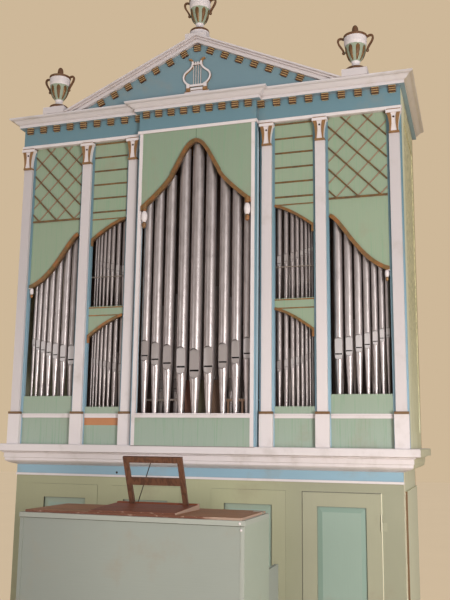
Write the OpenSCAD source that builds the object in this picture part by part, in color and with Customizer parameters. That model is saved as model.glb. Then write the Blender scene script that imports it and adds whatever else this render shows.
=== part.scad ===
// Pipe organ with a two-storey painted wooden case, a pediment and a detached console.
// The origin is on the floor, midway between the console front and the case back.
// X runs to the right along the front, Y runs back into the case, Z is up.

/* [Lower case] */
// Width of the lower case over its side walls
lower_w = 2988; // [2900:4:3020]
// Height of the panelled lower front, up to the blue frieze
lower_h = 1327; // [1300:1:1360]
// Depth from the origin back to the lower front
lower_y = 80; // [75:1:90]
// Thickness of the case boards
board = 22; // [18:1:26]
// Width of the plain board between the two middle panels
centre_board_w = 238; // [200:2:280]
// Width of the post between two neighbouring panels
panel_post_w = 116; // [90:2:140]
// Distance from a side of the case to its nearest panel
side_stile_w = 149; // [130:1:170]
// Clear gap around the door
door_gap = 6; // [5:1:8]

/* [Upper case] */
// Width of the upper case over its side walls
upper_w = 3100; // [3080:10:3140]
// Height from the middle cornice to the white bead under the upper frieze
stage_h = 2425; // [2380:5:2460]
// Depth from the origin to the back of the case
case_back = 1115; // [1000:5:1200]
// Distance of the inner pilasters from the centre line
inner_pilaster_x = 550; // [545:1:555]
// Distance of the middle pilasters from the centre line
middle_pilaster_x = 957; // [950:1:965]
// Width of a pilaster shaft
shaft_w = 75; // [65:1:82]
// Width of a pilaster base block
base_w = 99; // [92:1:104]
// How far the centre bay stands forward
centre_step = 50; // [45:1:60]

/* [Cornices and pediment] */
// Height of the blue frieze under the middle cornice
lower_frieze_h = 81; // [70:1:90]
// Height of the middle cornice
middle_cornice_h = 157; // [145:1:170]
// Height of the upper blue frieze
upper_frieze_h = 156; // [145:1:170]
// Height of the upper cornice
upper_cornice_h = 72; // [64:1:80]
// Height of the pediment above the upper cornice
pediment_h = 515; // [480:5:550]
// Half the length of the pediment
pediment_half = 1142; // [1120:1:1150]

/* [Pipes] */
// Diameter of the tallest front pipe
main_pipe_d = 90; // [80:1:92]
// Height of the mouth of the tallest pipe above the sill of its bay
main_mouth = 308; // [290:2:330]

/* [Console] */
// Width of the console
console_w = 1430; // [1380:5:1460]
// Depth of the console
console_d = 560; // [540:5:600]
// Height of the console
console_h = 1160; // [1120:5:1200]

/* [Hidden] */
$fn = 48;

// Colours of the object
OLIVE = [0.62, 0.61, 0.47];
SEA_GREEN = [0.56, 0.64, 0.58];
PALE_GREEN = [0.62, 0.72, 0.60];
BLUE = [0.42, 0.60, 0.68];
WHITE = [0.86, 0.82, 0.80];
GOLD = [0.58, 0.42, 0.20];
TIN = [0.66, 0.66, 0.67];
GREY_BLUE = [0.62, 0.65, 0.62];
BROWN = [0.44, 0.26, 0.18];
PINE = [0.72, 0.54, 0.34];

// Heights, from the floor up
lower_bead_h = 16;
lower_frieze_top = lower_h + lower_frieze_h;
deck_z = lower_frieze_top + middle_cornice_h;
stage_top = deck_z + stage_h;
bead_h = 24;
upper_frieze_z = stage_top + bead_h;
cornice_z = upper_frieze_z + upper_frieze_h;
cornice_top = cornice_z + upper_cornice_h;
apex_z = cornice_top + pediment_h;
rake = pediment_h / pediment_half;

// Half widths and depths
lower_half = lower_w / 2;
upper_half = upper_w / 2;
outer_pilaster_x = upper_half - base_w / 2 - 1;
pilaster_xs = [inner_pilaster_x, middle_pilaster_x, outer_pilaster_x];
pilaster_t = 25;
back_half = base_w / 2 + 7;
bay_y = pilaster_t + 5;
centre_half = inner_pilaster_x - back_half - 14;
post_w = 27;
centre_open = centre_half - post_w - 8;

// Small gap between pieces that the real case only pins together
gap = 1;

// Panels of the lower case; the outer one on the right is the door
panel_z = 100;
panel_h = lower_h - 62 - panel_z;
panel_w = (lower_half - centre_board_w / 2 - panel_post_w - side_stile_w) / 2;
panel_stile = 100;
outer_panel_x = lower_half - side_stile_w - panel_w / 2;
inner_panel_x = (centre_board_w + panel_w) / 2;
door_w = panel_w - 2 * door_gap;
door_face = lower_y - 3;

// Door hinges: barrels that turn on a pin, in front of the joint between door and case
hinge_r = 6;
hinge_x = outer_panel_x + panel_w / 2 - door_gap / 2;
hinge_y = door_face - hinge_r - 0.5;
hinge_h = 110;
hinge_zs = [panel_z + 130, panel_z + panel_h - hinge_h - 140];
hinge_pin_r = 2.5;
hinge_play = 0.3;
leaf_w = 34;
leaf_t = 2;

// Bays of the upper front, with heights above the deck
sill_z = 235;
sill_h = 32;
outer_open_z = 371;
inner_open_z = 287;
rail_z = [990, 1069];
bay_x = [inner_pilaster_x + back_half, middle_pilaster_x - back_half];
outer_x = [middle_pilaster_x + back_half, outer_pilaster_x - back_half];
trim_w = 29;
inner_trim_w = 20;
trim_t = 14;

// Box from its low corner to its high corner
module box(low, high) {
    translate(low) cube(high - low);
}

// Upright board cut to an outline in X and Z, with its front at y
module cut_board(outline, y, thick) {
    translate([0, y + thick, 0]) rotate([90, 0, 0]) linear_extrude(thick) polygon(outline);
}

// The shape and its mirror image on the left
module both_sides() {
    children();
    mirror([1, 0, 0]) children();
}

// Round rod between two points
module rod(a, b, r) {
    v = b - a;
    translate(a) rotate([0, acos(v[2] / norm(v)), atan2(v[1], v[0])]) cylinder(r = r, h = norm(v));
}

// Points of a cubic curve through p0 and p3
function curve(p0, p1, p2, p3, steps = 10) = [
    for (i = [0 : steps]) let (t = i / steps, s = 1 - t)
        s * s * s * p0 + 3 * s * s * t * p1 + 3 * s * t * t * p2 + t * t * t * p3
];

function reversed(points) = [for (i = [len(points) - 1 : -1 : 0]) points[i]];
function mirrored(points) = [for (p = points) [-p[0], p[1]]];
function last_z(points) = points[len(points) - 1][1];
function raised(points, z) = [for (p = points) [p[0], p[1] + z]];

// The same line of points moved sideways by d
function beside(points, d) = [
    for (i = [0 : len(points) - 1])
        let (a = points[max(i - 1, 0)], b = points[min(i + 1, len(points) - 1)], v = b - a)
            points[i] + d * [-v[1], v[0]] / norm(v)
];

// Half of the ogee arch over the centre bay, from the apex out
centre_arch = raised(concat(
    curve([0, 2313], [centre_open * 0.13, 2313], [centre_open * 0.24, 2188], [centre_open * 0.39, 2075]),
    curve([centre_open * 0.41, 2050], [centre_open * 0.5, 1985], [centre_open * 0.7, 1900],
          [centre_open, 1792])
), deck_z);

// The falling curve over an outer bay
outer_arch = raised(curve([outer_x[0], 1657], [outer_x[0] + 90, 1615], [outer_x[0] + 205, 1300],
                          [outer_x[1], 1235], 16), deck_z);

// The quarter arch over an inner opening whose crown is at height z
function inner_arch(z) = raised(curve([bay_x[0], 0], [bay_x[0] + 100, -26], [bay_x[0] + 200, -95],
                                      [bay_x[1], -168], 12), z);
upper_arch_z = deck_z + 1763;
lower_arch_z = deck_z + rail_z[0] - 4;

// Opening in the lower front for one framed panel, centred on x
module panel_hole(x) {
    box([x - panel_w / 2, lower_y - 1, panel_z], [x + panel_w / 2, lower_y + board + 1, panel_z + panel_h]);
}

// Groove along the joint between a post and the top rail
module rail_joint(low_x, high_x) {
    z = panel_z + panel_h;
    box([low_x, lower_y - 1, z - 2], [high_x, lower_y + 2, z]);
}

module lower_front() {
    color(OLIVE) difference() {
        box([-lower_half, lower_y, 0], [lower_half, lower_y + board, lower_h]);
        both_sides() {
            panel_hole(outer_panel_x);
            panel_hole(inner_panel_x);
            rail_joint(inner_panel_x + panel_w / 2, outer_panel_x - panel_w / 2);
            rail_joint(outer_panel_x + panel_w / 2, lower_half + 1);
        }
        rail_joint(-centre_board_w / 2, centre_board_w / 2);
    }
}

// Four-sided frame of stiles and rails, clear of the rails of the case by a gap
module panel_frame(x, width, clear) {
    difference() {
        box([x - width / 2, door_face, panel_z + clear],
            [x + width / 2, door_face + board, panel_z + panel_h - clear]);
        box([x - width / 2 + panel_stile, door_face - 1, panel_z + panel_stile],
            [x + width / 2 - panel_stile, lower_y + board, panel_z + panel_h - panel_stile]);
    }
}

// Panel with a bevelled border, seated in its frame
module raised_panel(x, width) {
    half = width / 2 - panel_stile;
    low = panel_z + panel_stile;
    high = panel_z + panel_h - panel_stile;
    face = lower_y + 4;
    back = door_face + board;
    bevel = 38;
    intersection() {
        box([x - half, face, low], [x + half, back, high]);
        translate([0, 0, low]) linear_extrude(high - low) polygon([
            [x - half, back], [x - half, face + 6], [x - half + bevel, face],
            [x + half - bevel, face], [x + half, face + 6], [x + half, back]
        ]);
        translate([x - half, 0, 0]) rotate([90, 0, 90]) linear_extrude(2 * half) polygon([
            [back, low], [face + 6, low], [face, low + bevel],
            [face, high - bevel], [face + 6, high], [back, high]
        ]);
    }
}

module lower_panel_frames() {
    color(OLIVE) {
        for (x = [-outer_panel_x, -inner_panel_x, inner_panel_x]) panel_frame(x, panel_w, gap);
    }
}

module lower_panels() {
    color(SEA_GREEN) {
        for (x = [-outer_panel_x, -inner_panel_x, inner_panel_x]) raised_panel(x, panel_w);
    }
}

module door_frame() {
    color(OLIVE) panel_frame(outer_panel_x, door_w, door_gap);
}

module door_panel() {
    color(SEA_GREEN) raised_panel(outer_panel_x, door_w);
}

// Door halves of the hinges: a leaf on the door and the upper barrel, bored for the pin
module door_leaves() {
    color(GOLD) for (z = hinge_zs) difference() {
        union() {
            translate([hinge_x, hinge_y, z + hinge_h / 2 + 0.5])
                cylinder(r = hinge_r, h = hinge_h / 2 - 0.5);
            box([hinge_x - leaf_w, door_face - leaf_t, z + hinge_h / 2 + 0.5],
                [hinge_x - 3, door_face, z + hinge_h]);
        }
        translate([hinge_x, hinge_y, z]) cylinder(r = hinge_pin_r + hinge_play, h = hinge_h + 1);
    }
}

// Case halves of the hinges: a leaf on the case, the lower barrel and the pin
module hinge_leaves() {
    color(GOLD) for (z = hinge_zs) {
        translate([hinge_x, hinge_y, z]) cylinder(r = hinge_r, h = hinge_h / 2);
        translate([hinge_x, hinge_y, z]) cylinder(r = hinge_pin_r, h = hinge_h);
        box([hinge_x + 3, lower_y - leaf_t, z], [hinge_x + leaf_w, lower_y, z + hinge_h / 2]);
        box([hinge_x + 3, hinge_y, z], [hinge_x + 3 + leaf_t, lower_y, z + hinge_h / 2]);
    }
}

// Side walls, each with a thick panel nailed on behind the corner
side_panel_y = lower_y + 98;
side_panel_t = 15;

module lower_side_walls() {
    color(OLIVE) both_sides() {
        box([lower_half - board, lower_y + board, 0], [lower_half, case_back - board, lower_frieze_top]);
        box([lower_half, side_panel_y, 0], [lower_half + side_panel_t, case_back - 60, lower_h - 51]);
    }
}

// Half outline of a moulding in (projection, height), as a closed shape with its back at -board
function middle_profile() = [
    [-board, 0], [6, 0], [14, 4], [32, 9], [52, 16], [66, 24], [74, 32], [74, 50], [80, 54], [80, 88],
    [92, 92], [92, 98], [126, 104], [126, middle_cornice_h - 6], [120, middle_cornice_h],
    [-board, middle_cornice_h]
];

// A profile run along the front and back along both sides, mitred at the corners
module mitred_run(profile, half, front, z) {
    reach = 400;
    translate([0, 0, z]) {
        intersection() {
            translate([-half - reach, front, 0]) rotate([90, 0, 90])
                linear_extrude(2 * (half + reach)) polygon([for (p = profile) [-p[0], p[1]]]);
            linear_extrude(reach) polygon([
                [-half - reach, front - reach], [half + reach, front - reach], [half, front],
                [half - 60, front + 60], [-half + 60, front + 60], [-half, front]
            ]);
        }
        both_sides() intersection() {
            translate([half, case_back, 0]) rotate([90, 0, 0])
                linear_extrude(case_back - front + reach) polygon(profile);
            linear_extrude(reach) polygon([
                [half + reach, front - reach], [half + reach, case_back], [half - 60, case_back],
                [half - 60, front + 60], [half, front]
            ]);
        }
    }
}

module middle_cornice() {
    color(WHITE) mitred_run(middle_profile(), lower_half, lower_y, lower_frieze_top);
}

// Deck that closes the lower case and carries the upper one
module case_deck() {
    color(PINE) box([-lower_half + board + gap, lower_y + board + gap, deck_z - board],
                    [lower_half - board - gap, case_back - board - gap, deck_z]);
}

// Board over an opening, cut to the arch below it
module arched_board(arch, top, y) {
    cut_board(concat(arch, [[arch[len(arch) - 1][0], top], [arch[0][0], top]]), y, board);
}

module centre_bay_boards() {
    color(PALE_GREEN) {
        arched_board(concat(reversed(mirrored(centre_arch)), centre_arch), stage_top, -centre_step);
        box([-centre_open, -centre_step, deck_z],
            [centre_open, board - centre_step, deck_z + sill_z - sill_h]);
    }
}

module centre_bay_posts() {
    color(WHITE) both_sides()
        box([centre_open, -centre_step - 3, deck_z], [centre_open + post_w, board - centre_step, stage_top]);
}

module centre_bay_cheeks() {
    color(BLUE) both_sides()
        box([centre_open + post_w, 2 - centre_step, deck_z], [centre_half, bay_y + board, stage_top]);
}

module side_bay_boards() {
    color(PALE_GREEN) both_sides() {
        arched_board(outer_arch, stage_top, bay_y);
        box([outer_x[0], bay_y, deck_z], [outer_x[1], bay_y + board, deck_z + outer_open_z]);
        arched_board(inner_arch(upper_arch_z), stage_top, bay_y);
        arched_board(inner_arch(lower_arch_z), deck_z + rail_z[1], bay_y);
        box([bay_x[0], bay_y, deck_z], [bay_x[1], bay_y + board, deck_z + inner_open_z]);
    }
}

module pilaster_backs() {
    color(BLUE) both_sides() for (x = pilaster_xs)
        box([x - back_half, pilaster_t, deck_z],
            [x + min(back_half, upper_half - x), bay_y + board, stage_top]);
}

base_block_h = 250;
base_cap_h = 18;
capital_h = 182;
capital_w = 2 * back_half - 2;
neck_h = 14;
abacus_h = 30;

module pilasters() {
    cap_z = deck_z + base_block_h - base_cap_h;
    color(WHITE) both_sides() for (x = pilaster_xs) {
        box([x - base_w / 2, -10, deck_z], [x + base_w / 2, pilaster_t, cap_z]);
        box([x - base_w / 2, -14, cap_z], [x + base_w / 2, pilaster_t, cap_z + base_cap_h]);
        box([x - shaft_w / 2, 0, cap_z + base_cap_h],
            [x + shaft_w / 2, pilaster_t, stage_top - capital_h]);
    }
}

// Capital: a flared vase body with a leaf up each side and a bud, between neck ring and top slab
module capital() {
    neck = shaft_w / 2 - 4;
    lip = capital_w / 2 - 7;
    flare = curve([neck - 2, neck_h], [neck - 4, 70], [neck + 4, 110], [lip, capital_h - abacus_h], 8);
    vein = curve([neck - 12, neck_h], [neck - 20, 60], [neck - 24, 110], [lip - 27, capital_h - abacus_h], 8);
    leaf = concat(flare, reversed(vein));
    cut_board(concat(flare, reversed(mirrored(flare))), -12, pilaster_t + 12);
    both_sides() cut_board(leaf, -18, 7);
    translate([0, -12, capital_h - 62]) sphere(r = 8);
    box([-neck - 4, -16, 0], [neck + 4, pilaster_t, neck_h]);
    box([-capital_w / 2, -22, capital_h - abacus_h], [capital_w / 2, pilaster_t, capital_h - 8]);
    box([-capital_w / 2 + 6, -17, capital_h - 8], [capital_w / 2 - 6, pilaster_t, capital_h]);
}

module capitals() {
    color(WHITE) both_sides() for (x = pilaster_xs) translate([x, 0, stage_top - capital_h]) capital();
}

// Upper side walls, with a shallow field sunk between their stiles and rails
side_stile = 200;

module upper_side_walls() {
    color(OLIVE) both_sides() difference() {
        box([upper_half - board, bay_y + board, deck_z], [upper_half, case_back - board, cornice_z]);
        box([upper_half - 6, side_stile, deck_z + 120], [upper_half + 1, case_back - 110, stage_top]);
    }
}

// Back of the case, narrower where the cornices turn past it
module back_wall() {
    neck = lower_half - board - gap;
    head = upper_half - 30 - gap;
    right = [
        [lower_half, 0], [lower_half, lower_frieze_top], [neck, lower_frieze_top], [neck, deck_z],
        [upper_half, deck_z], [upper_half, cornice_z], [head, cornice_z], [head, cornice_top - board]
    ];
    color(PINE) cut_board(concat(right, reversed(mirrored(right))), case_back - board, board);
}

// White strips under the friezes, and the sills of the bays
module sill(low_x, high_x, y, thick) {
    z = deck_z + sill_z;
    box([low_x, y - 8, z - sill_h], [high_x, y + thick, z]);
    box([low_x, y - 13, z - 9], [high_x, y - 8, z]);
}

module white_beads() {
    color(WHITE) {
        box([-lower_half - 5, lower_y - 10, lower_h],
            [lower_half + 5, lower_y + board, lower_h + lower_bead_h]);
        sill(-centre_open, centre_open, -centre_step, board);
        both_sides() {
            sill(outer_x[0], outer_x[1], bay_y, 0);
            sill(bay_x[0], bay_x[1], bay_y, 0);
        }
        stepped_front(8, 38, stage_top, upper_frieze_z);
    }
}

// Board along the front that follows the step of the centre bay
module stepped_front(out, thick, low, high) {
    half = upper_half + out;
    step = centre_half + out;
    back = thick - out;
    translate([0, 0, low]) linear_extrude(high - low) polygon([
        [-half, -out], [-step, -out], [-step, -out - centre_step], [step, -out - centre_step],
        [step, -out], [half, -out], [half, back], [step - thick, back], [step - thick, back - centre_step],
        [thick - step, back - centre_step], [thick - step, back], [-half, back]
    ]);
}

module friezes() {
    color(BLUE) {
        box([-lower_half, lower_y - 4, lower_h + lower_bead_h],
            [lower_half, lower_y + board, lower_frieze_top]);
        stepped_front(0, 30, upper_frieze_z, cornice_z);
    }
}

block_w = 52;
block_t = 18;

// Block with three ridges that hangs under a cornice, with its top at the origin
module gold_block() {
    for (i = [0 : 2]) {
        ridge = block_w / 3;
        box([-block_w / 2, -block_t, -(i + 1) * ridge + 2], [block_w / 2, 0, -i * ridge]);
        box([-block_w / 2 + 3, -block_t + 5, -(i + 1) * ridge], [block_w / 2 - 3, 0, -(i + 1) * ridge + 2]);
    }
}

centre_block_step = 2 * (centre_half - 60) / 8;
side_block_step = (upper_half - 56 - centre_half - 28) / 8;
pediment_front = -centre_step;
rake_t = 62;
pediment_blocks = 7;
pediment_block_step = 119;

module gold_blocks() {
    color(GOLD) {
        for (i = [-4 : 4]) translate([i * centre_block_step, -centre_step, cornice_z]) gold_block();
        both_sides() for (i = [0 : 8])
            translate([centre_half + 28 + i * side_block_step, 0, cornice_z]) gold_block();
        translate([0, pediment_front, apex_z - rake_t - 14]) gold_block();
        both_sides() for (i = [1 : pediment_blocks]) {
            x = i * pediment_block_step;
            translate([x, pediment_front, apex_z - rake_t - 1 - x * rake])
                rotate([0, atan(rake), 0]) gold_block();
        }
    }
}

// Moulding of the upper cornice in (projection, height)
cornice_out = 98;

function upper_profile() = [
    [-30, 0], [34, 0], [34, 24], [44, 28], [54, 35], [64, 45], [74, 53], [90, 56], [cornice_out, 61],
    [cornice_out, upper_cornice_h], [-30, upper_cornice_h]
];

module upper_cornice() {
    color(WHITE) {
        difference() {
            mitred_run(upper_profile(), upper_half, 0, cornice_z);
            box([-centre_half, -2 * cornice_out, cornice_z - 1], [centre_half, 40, cornice_top + 1]);
        }
        intersection() {
            mitred_run(upper_profile(), centre_half, -centre_step, cornice_z);
            box([-centre_half - 200, -400, cornice_z - 1], [centre_half + 200, 30, cornice_top + 1]);
        }
    }
}

module case_roof() {
    color(PINE) box([-upper_half + 30 + gap, 30 + gap, cornice_top - board],
                    [upper_half - 30 - gap, case_back - gap, cornice_top]);
}

// Height of the rake line at distance x from the centre, lowered by d
function rake_z(x, d) = apex_z - d - abs(x) * rake;

module pediment_board() {
    reach = (pediment_h - rake_t) / rake;
    color(BLUE) cut_board([
        [-reach, cornice_top], [reach, cornice_top], [0, rake_z(0, rake_t)]
    ], pediment_front, board);
}

// One band of the raking cornice, between two lines parallel to the rake
module rake_band(over, under, front, back) {
    top = (pediment_h - over) / rake;
    low = (pediment_h - under) / rake;
    cut_board([
        [-top, cornice_top], [-low, cornice_top], [0, rake_z(0, under)], [low, cornice_top],
        [top, cornice_top], [0, rake_z(0, over)]
    ], front, back - front);
}

seat_half = 88;
seat_top = apex_z + 6;

module raking_cornice() {
    color(WHITE) {
        rake_band(30, rake_t, -centre_step - 32, 30);
        rake_band(14, 30, -centre_step - 44, 30);
        rake_band(0, 14, -centre_step - 60, 30);
        difference() {
            box([-seat_half, -centre_step - 60, apex_z - 60], [seat_half, 70, seat_top]);
            cut_board([
                [-400, apex_z - 200], [400, apex_z - 200], [400, rake_z(400, 0)], [0, apex_z],
                [-400, rake_z(400, 0)]
            ], -300, 330);
        }
    }
}

// Lyre on the pediment board: swelling arms with scrolled tips, a cross bar, pegs, strings and a foot
module lyre() {
    front = pediment_front;
    arm = concat(
        curve([60, 98], [126, 130], [136, 196], [84, 228], 8),
        curve([66, 242], [40, 262], [34, 300], [52, 314], 6),
        [[68, 318]]
    );
    translate([0, 0, cornice_top]) {
        color(WHITE) {
            both_sides() cut_board(concat(arm, reversed(beside(arm, 14))), front - 16, 16);
            box([-44, front - 12, 274], [44, front, 288]);
            for (x = [-30 : 20 : 30]) box([x - 5, front - 17, 270], [x + 5, front, 296]);
            box([-64, front - 14, 92], [64, front, 110]);
            box([-86, front - 16, 62], [86, front, 80]);
            both_sides() box([58, front - 18, 56], [84, front, 114]);
            box([-100, front - 12, 0], [100, front, 58]);
        }
        color(BROWN) for (x = [-30 : 20 : 30]) box([x - 2, front - 6, 110], [x + 2, front, 274]);
    }
}

plinth_half = 93;
plinth_h = 55;
urn_x = pediment_half + plinth_half;
urn_y = -15;
drum_h = 30;

module urn_plinths() {
    color(WHITE) {
        both_sides() box([urn_x - plinth_half, urn_y - plinth_half + 4, cornice_top],
                         [urn_x + plinth_half, urn_y + plinth_half, cornice_top + plinth_h]);
        translate([0, urn_y, seat_top]) cylinder(r = seat_half - 10, h = drum_h);
    }
}

// Turned urn on the origin: foot, cup, band and rim, knobbed lid, and two handles that end in balls
grip_t = 14;

module urn() {
    foot = concat([[0, 0], [77, 0], [78, 16], [74, 28]], curve([66, 34], [44, 42], [30, 54], [27, 72], 6));
    cup = curve([35, 88], [58, 118], [72, 160], [78, 208], 8);
    rim = [[80, 214], [84, 230], [84, 276], [88, 282], [88, 292]];
    lid = concat(curve([80, 294], [60, 302], [34, 304], [20, 306], 5), [[14, 312], [16, 320]]);
    knob = concat([[24, 324], [24, 340]], curve([23, 352], [20, 372], [12, 381], [0, 383], 4));
    rotate_extrude() polygon(concat(foot, cup, rim, lid, knob));
    grip = concat(
        curve([82, 284], [106, 304], [140, 300], [137, 264], 6),
        curve([132, 246], [122, 222], [104, 204], [94, 176], 6)
    );
    both_sides() {
        translate([0, grip_t / 2, 0]) rotate([90, 0, 0]) linear_extrude(grip_t)
            polygon(concat(grip, [[70, 168]], reversed(beside(grip, -grip_t))));
        translate([88, 0, 170]) sphere(r = 0.9 * grip_t);
    }
}

module urns() {
    color(WHITE) {
        for (side = [-1, 1]) translate([side * urn_x, urn_y, cornice_top + plinth_h]) urn();
        translate([0, urn_y, seat_top + drum_h]) urn();
    }
}

// Ribbon on the face of a board at y, along an arch and within its bay
module ribbon(arch, wide, bay, y) {
    line = concat(arch, reversed(beside(arch, wide)));
    intersection() {
        cut_board(line, y - trim_t, trim_t);
        box([bay[0], y - 2 * trim_t, 0], [bay[1], y, apex_z]);
    }
}

// Split turning that hangs at the end of an arch: knot, oval and knob, with its top at the origin
module pendant(r, h) {
    intersection() {
        rotate_extrude() polygon(concat(
            [[0, 0], [0.8 * r, 0], [0.8 * r, -0.22 * h], [0.4 * r, -0.27 * h]],
            curve([0.5 * r, -0.28 * h], [1.1 * r, -0.36 * h], [1.2 * r, -0.62 * h], [0.5 * r, -0.73 * h], 6),
            [[0.4 * r, -0.75 * h], [0.75 * r, -0.8 * h], [0.6 * r, -0.95 * h], [0, -h]]
        ));
        box([-2 * r, -2 * r, -h - 1], [2 * r, 0, 1]);
    }
}

// Pendant of a given [radius, height] whose outer side is at x and whose top is at z
module hung_pendant(drop, x, y, z) {
    translate([x - drop[0], y, z]) pendant(drop[0], drop[1]);
}

centre_drop = [25, 190];
outer_drop = [16, 112];
tail_w = 16;

// Gilt trim: ribbons along the arches with pendants or short tails, and flat strips between the boards
module arch_trims() {
    full_arch = concat(reversed(mirrored(centre_arch)), centre_arch);
    color(GOLD) {
        ribbon(full_arch, trim_w, [-centre_open, centre_open], -centre_step);
        both_sides() {
            hung_pendant(centre_drop, centre_open - 4, -centre_step, last_z(centre_arch) + 50);
            ribbon(outer_arch, trim_w, outer_x, bay_y);
            hung_pendant(outer_drop, outer_x[1] - 5, bay_y, last_z(outer_arch) + 37);
            for (z = [upper_arch_z, lower_arch_z]) {
                ribbon(inner_arch(z), inner_trim_w, bay_x, bay_y);
                box([bay_x[1] - tail_w, bay_y - trim_t, z - 205], [bay_x[1], bay_y, z - 150]);
            }
            for (z = [deck_z + rail_z[1] - 14, lower_arch_z + 7, upper_arch_z + 10])
                box([bay_x[0], bay_y - 5, z], [bay_x[1], bay_y, z + 8]);
        }
    }
}

lattice_step = 166;
lattice_low = deck_z + 1802;
lattice_x = outer_x[0] + 3;
lattice_w = outer_x[1] - outer_x[0] - 6;

// Slats on one diagonal, clipped to the field above an outer bay
module lattice_slats(angle, width, y, thick) {
    translate([lattice_x, y + thick, lattice_low]) rotate([90, 0, 0]) linear_extrude(thick) intersection() {
        square([lattice_w, stage_top - 6 - lattice_low]);
        for (i = [-3 : 7]) translate([lattice_w / 2, i * lattice_step]) rotate(angle)
            square([1600, width], center = true);
    }
}

// Crossed slats with a rail under them; the slats that fall to the right are the stout ones
module lattice_panel(angle) {
    lattice_slats(angle, 10, bay_y - 12, 12);
    lattice_slats(-angle, 7, bay_y - 6, 6);
    box([lattice_x, bay_y - 12, lattice_low - 14], [lattice_x + lattice_w, bay_y, lattice_low]);
}

module lattices() {
    color(GOLD) {
        lattice_panel(-46);
        mirror([1, 0, 0]) lattice_panel(46);
    }
}

// Half-round rods over the upper openings
rod_r = 7;
rod_step = 115;

module gold_rods() {
    color(GOLD) both_sides() for (i = [0 : 5])
        translate([bay_x[0] + 3, bay_y, stage_top - 12 - i * rod_step]) rotate([90, 0, 90])
            linear_extrude(bay_x[1] - bay_x[0] - 6) intersection() {
                circle(r = rod_r);
                translate([-2 * rod_r, -rod_r]) square([2 * rod_r, 2 * rod_r]);
            }
}

// Face of a pipe lip: straight sides and an arched end
module lip_face(half, height, rise) {
    arc = (half * half + rise * rise) / (2 * rise);
    translate([-half, 0]) square([2 * half, height - rise]);
    intersection() {
        translate([0, height - arc]) circle(r = arc);
        translate([-half, height - rise]) square([2 * half, rise]);
    }
}

// What a flat lip takes away from a pipe in front of its face
module lip_cut(half, height, rise, depth) {
    rotate([90, 0, 0]) linear_extrude(depth) lip_face(half, height, rise);
}

// Open flue pipe: a tube on a conical foot, pressed flat above and below the slot of its mouth
module pipe(d, foot_z, mouth_z, top_z) {
    r = d / 2;
    wall = max(1.5, d * 0.03);
    face = 0.3 * d;
    half = sqrt(r * r - face * face) + 0.5;
    slot = 0.15 * d;
    upper_lip = 1.75 * d;
    lower_lip = 0.6 * d;
    arch = 0.24 * d;
    tube_h = top_z - mouth_z;
    difference() {
        union() {
            translate([0, 0, foot_z]) cylinder(r1 = 0.24 * d, r2 = r, h = mouth_z - foot_z);
            translate([0, 0, mouth_z]) cylinder(r = r, h = tube_h);
        }
        translate([0, -face, mouth_z + slot / 2]) {
            lip_cut(half, upper_lip + slot / 2, arch, r);
            mirror([0, 0, 1]) lip_cut(half, lower_lip + slot / 2, 1.6 * arch, r);
        }
        difference() {
            translate([0, 0, mouth_z]) cylinder(r = r - wall, h = tube_h + 1);
            translate([0, wall - face, mouth_z - 1]) lip_cut(half, slot + upper_lip + wall, arch, r);
        }
        box([-r, -r - 1, mouth_z], [r, 1 - face + wall, mouth_z + slot]);
    }
}

// Height of an outline at distance x, found by walking along its points
function height_at(points, x) = lookup(x, [for (p = points) [p[0], p[1]]]);

centre_ds = [main_pipe_d, 0.92 * main_pipe_d, 0.86 * main_pipe_d, 0.81 * main_pipe_d, 0.73 * main_pipe_d];
centre_xs = [0, 108, 220, 317, 405];
outer_ds = [65, 57, 53, 47, 42, 38, 29];
outer_xs = [1064, 1139, 1208, 1268, 1323, 1372, 1413];
inner_ds = [34, 32, 29, 27, 23, 21, 17, 14];
inner_xs = [631, 683, 730, 767, 801, 832, 858, 879];
pipe_y = 24;

module centre_pipes() {
    foot = deck_z + sill_z - 12;
    color(TIN) for (i = [0 : 4], side = [-1, 1]) if (i > 0 || side > 0)
        translate([side * centre_xs[i], pipe_y, 0])
            pipe(centre_ds[i], foot, deck_z + sill_z + main_mouth + i * 30.5,
                 height_at(centre_arch, centre_xs[i] - 20) + 60);
}

module outer_pipes() {
    foot = deck_z + outer_open_z - 14;
    color(TIN) both_sides() for (i = [0 : 6])
        translate([outer_xs[i], bay_y + board + 40, 0])
            pipe(outer_ds[i], foot, deck_z + 654 + i * 21.5, height_at(outer_arch, outer_xs[i] - 20) + 50);
}

// Row of small pipes behind one opening of an inner bay
module inner_row(low, crown) {
    for (i = [0 : 7])
        translate([inner_xs[i], bay_y + board + 24, 0])
            pipe(inner_ds[i], low - 12, low + 270 + i * 13, height_at(inner_arch(crown), inner_xs[i]) + 30);
}

module inner_pipes() {
    color(TIN) both_sides() {
        inner_row(deck_z + inner_open_z, lower_arch_z);
        inner_row(deck_z + rail_z[1], upper_arch_z);
    }
}

// Two ranks that stand behind the front, as (y, diameter, height of the middle pipe)
back_ranks = [[150, 40, 960], [235, 34, 800]];
back_step = 62;
rack_z = deck_z + 336;
rack_h = 12;

module back_pipes() {
    color(TIN) for (row = [0, 1], i = [-6 : 6]) {
        rank = back_ranks[row];
        translate([i * back_step + row * 18 - 9, rank[0], 0])
            pipe(rank[1], deck_z + sill_z - 12, rack_z + 90, rack_z + rank[2] - abs(i) * 45);
    }
}

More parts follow.
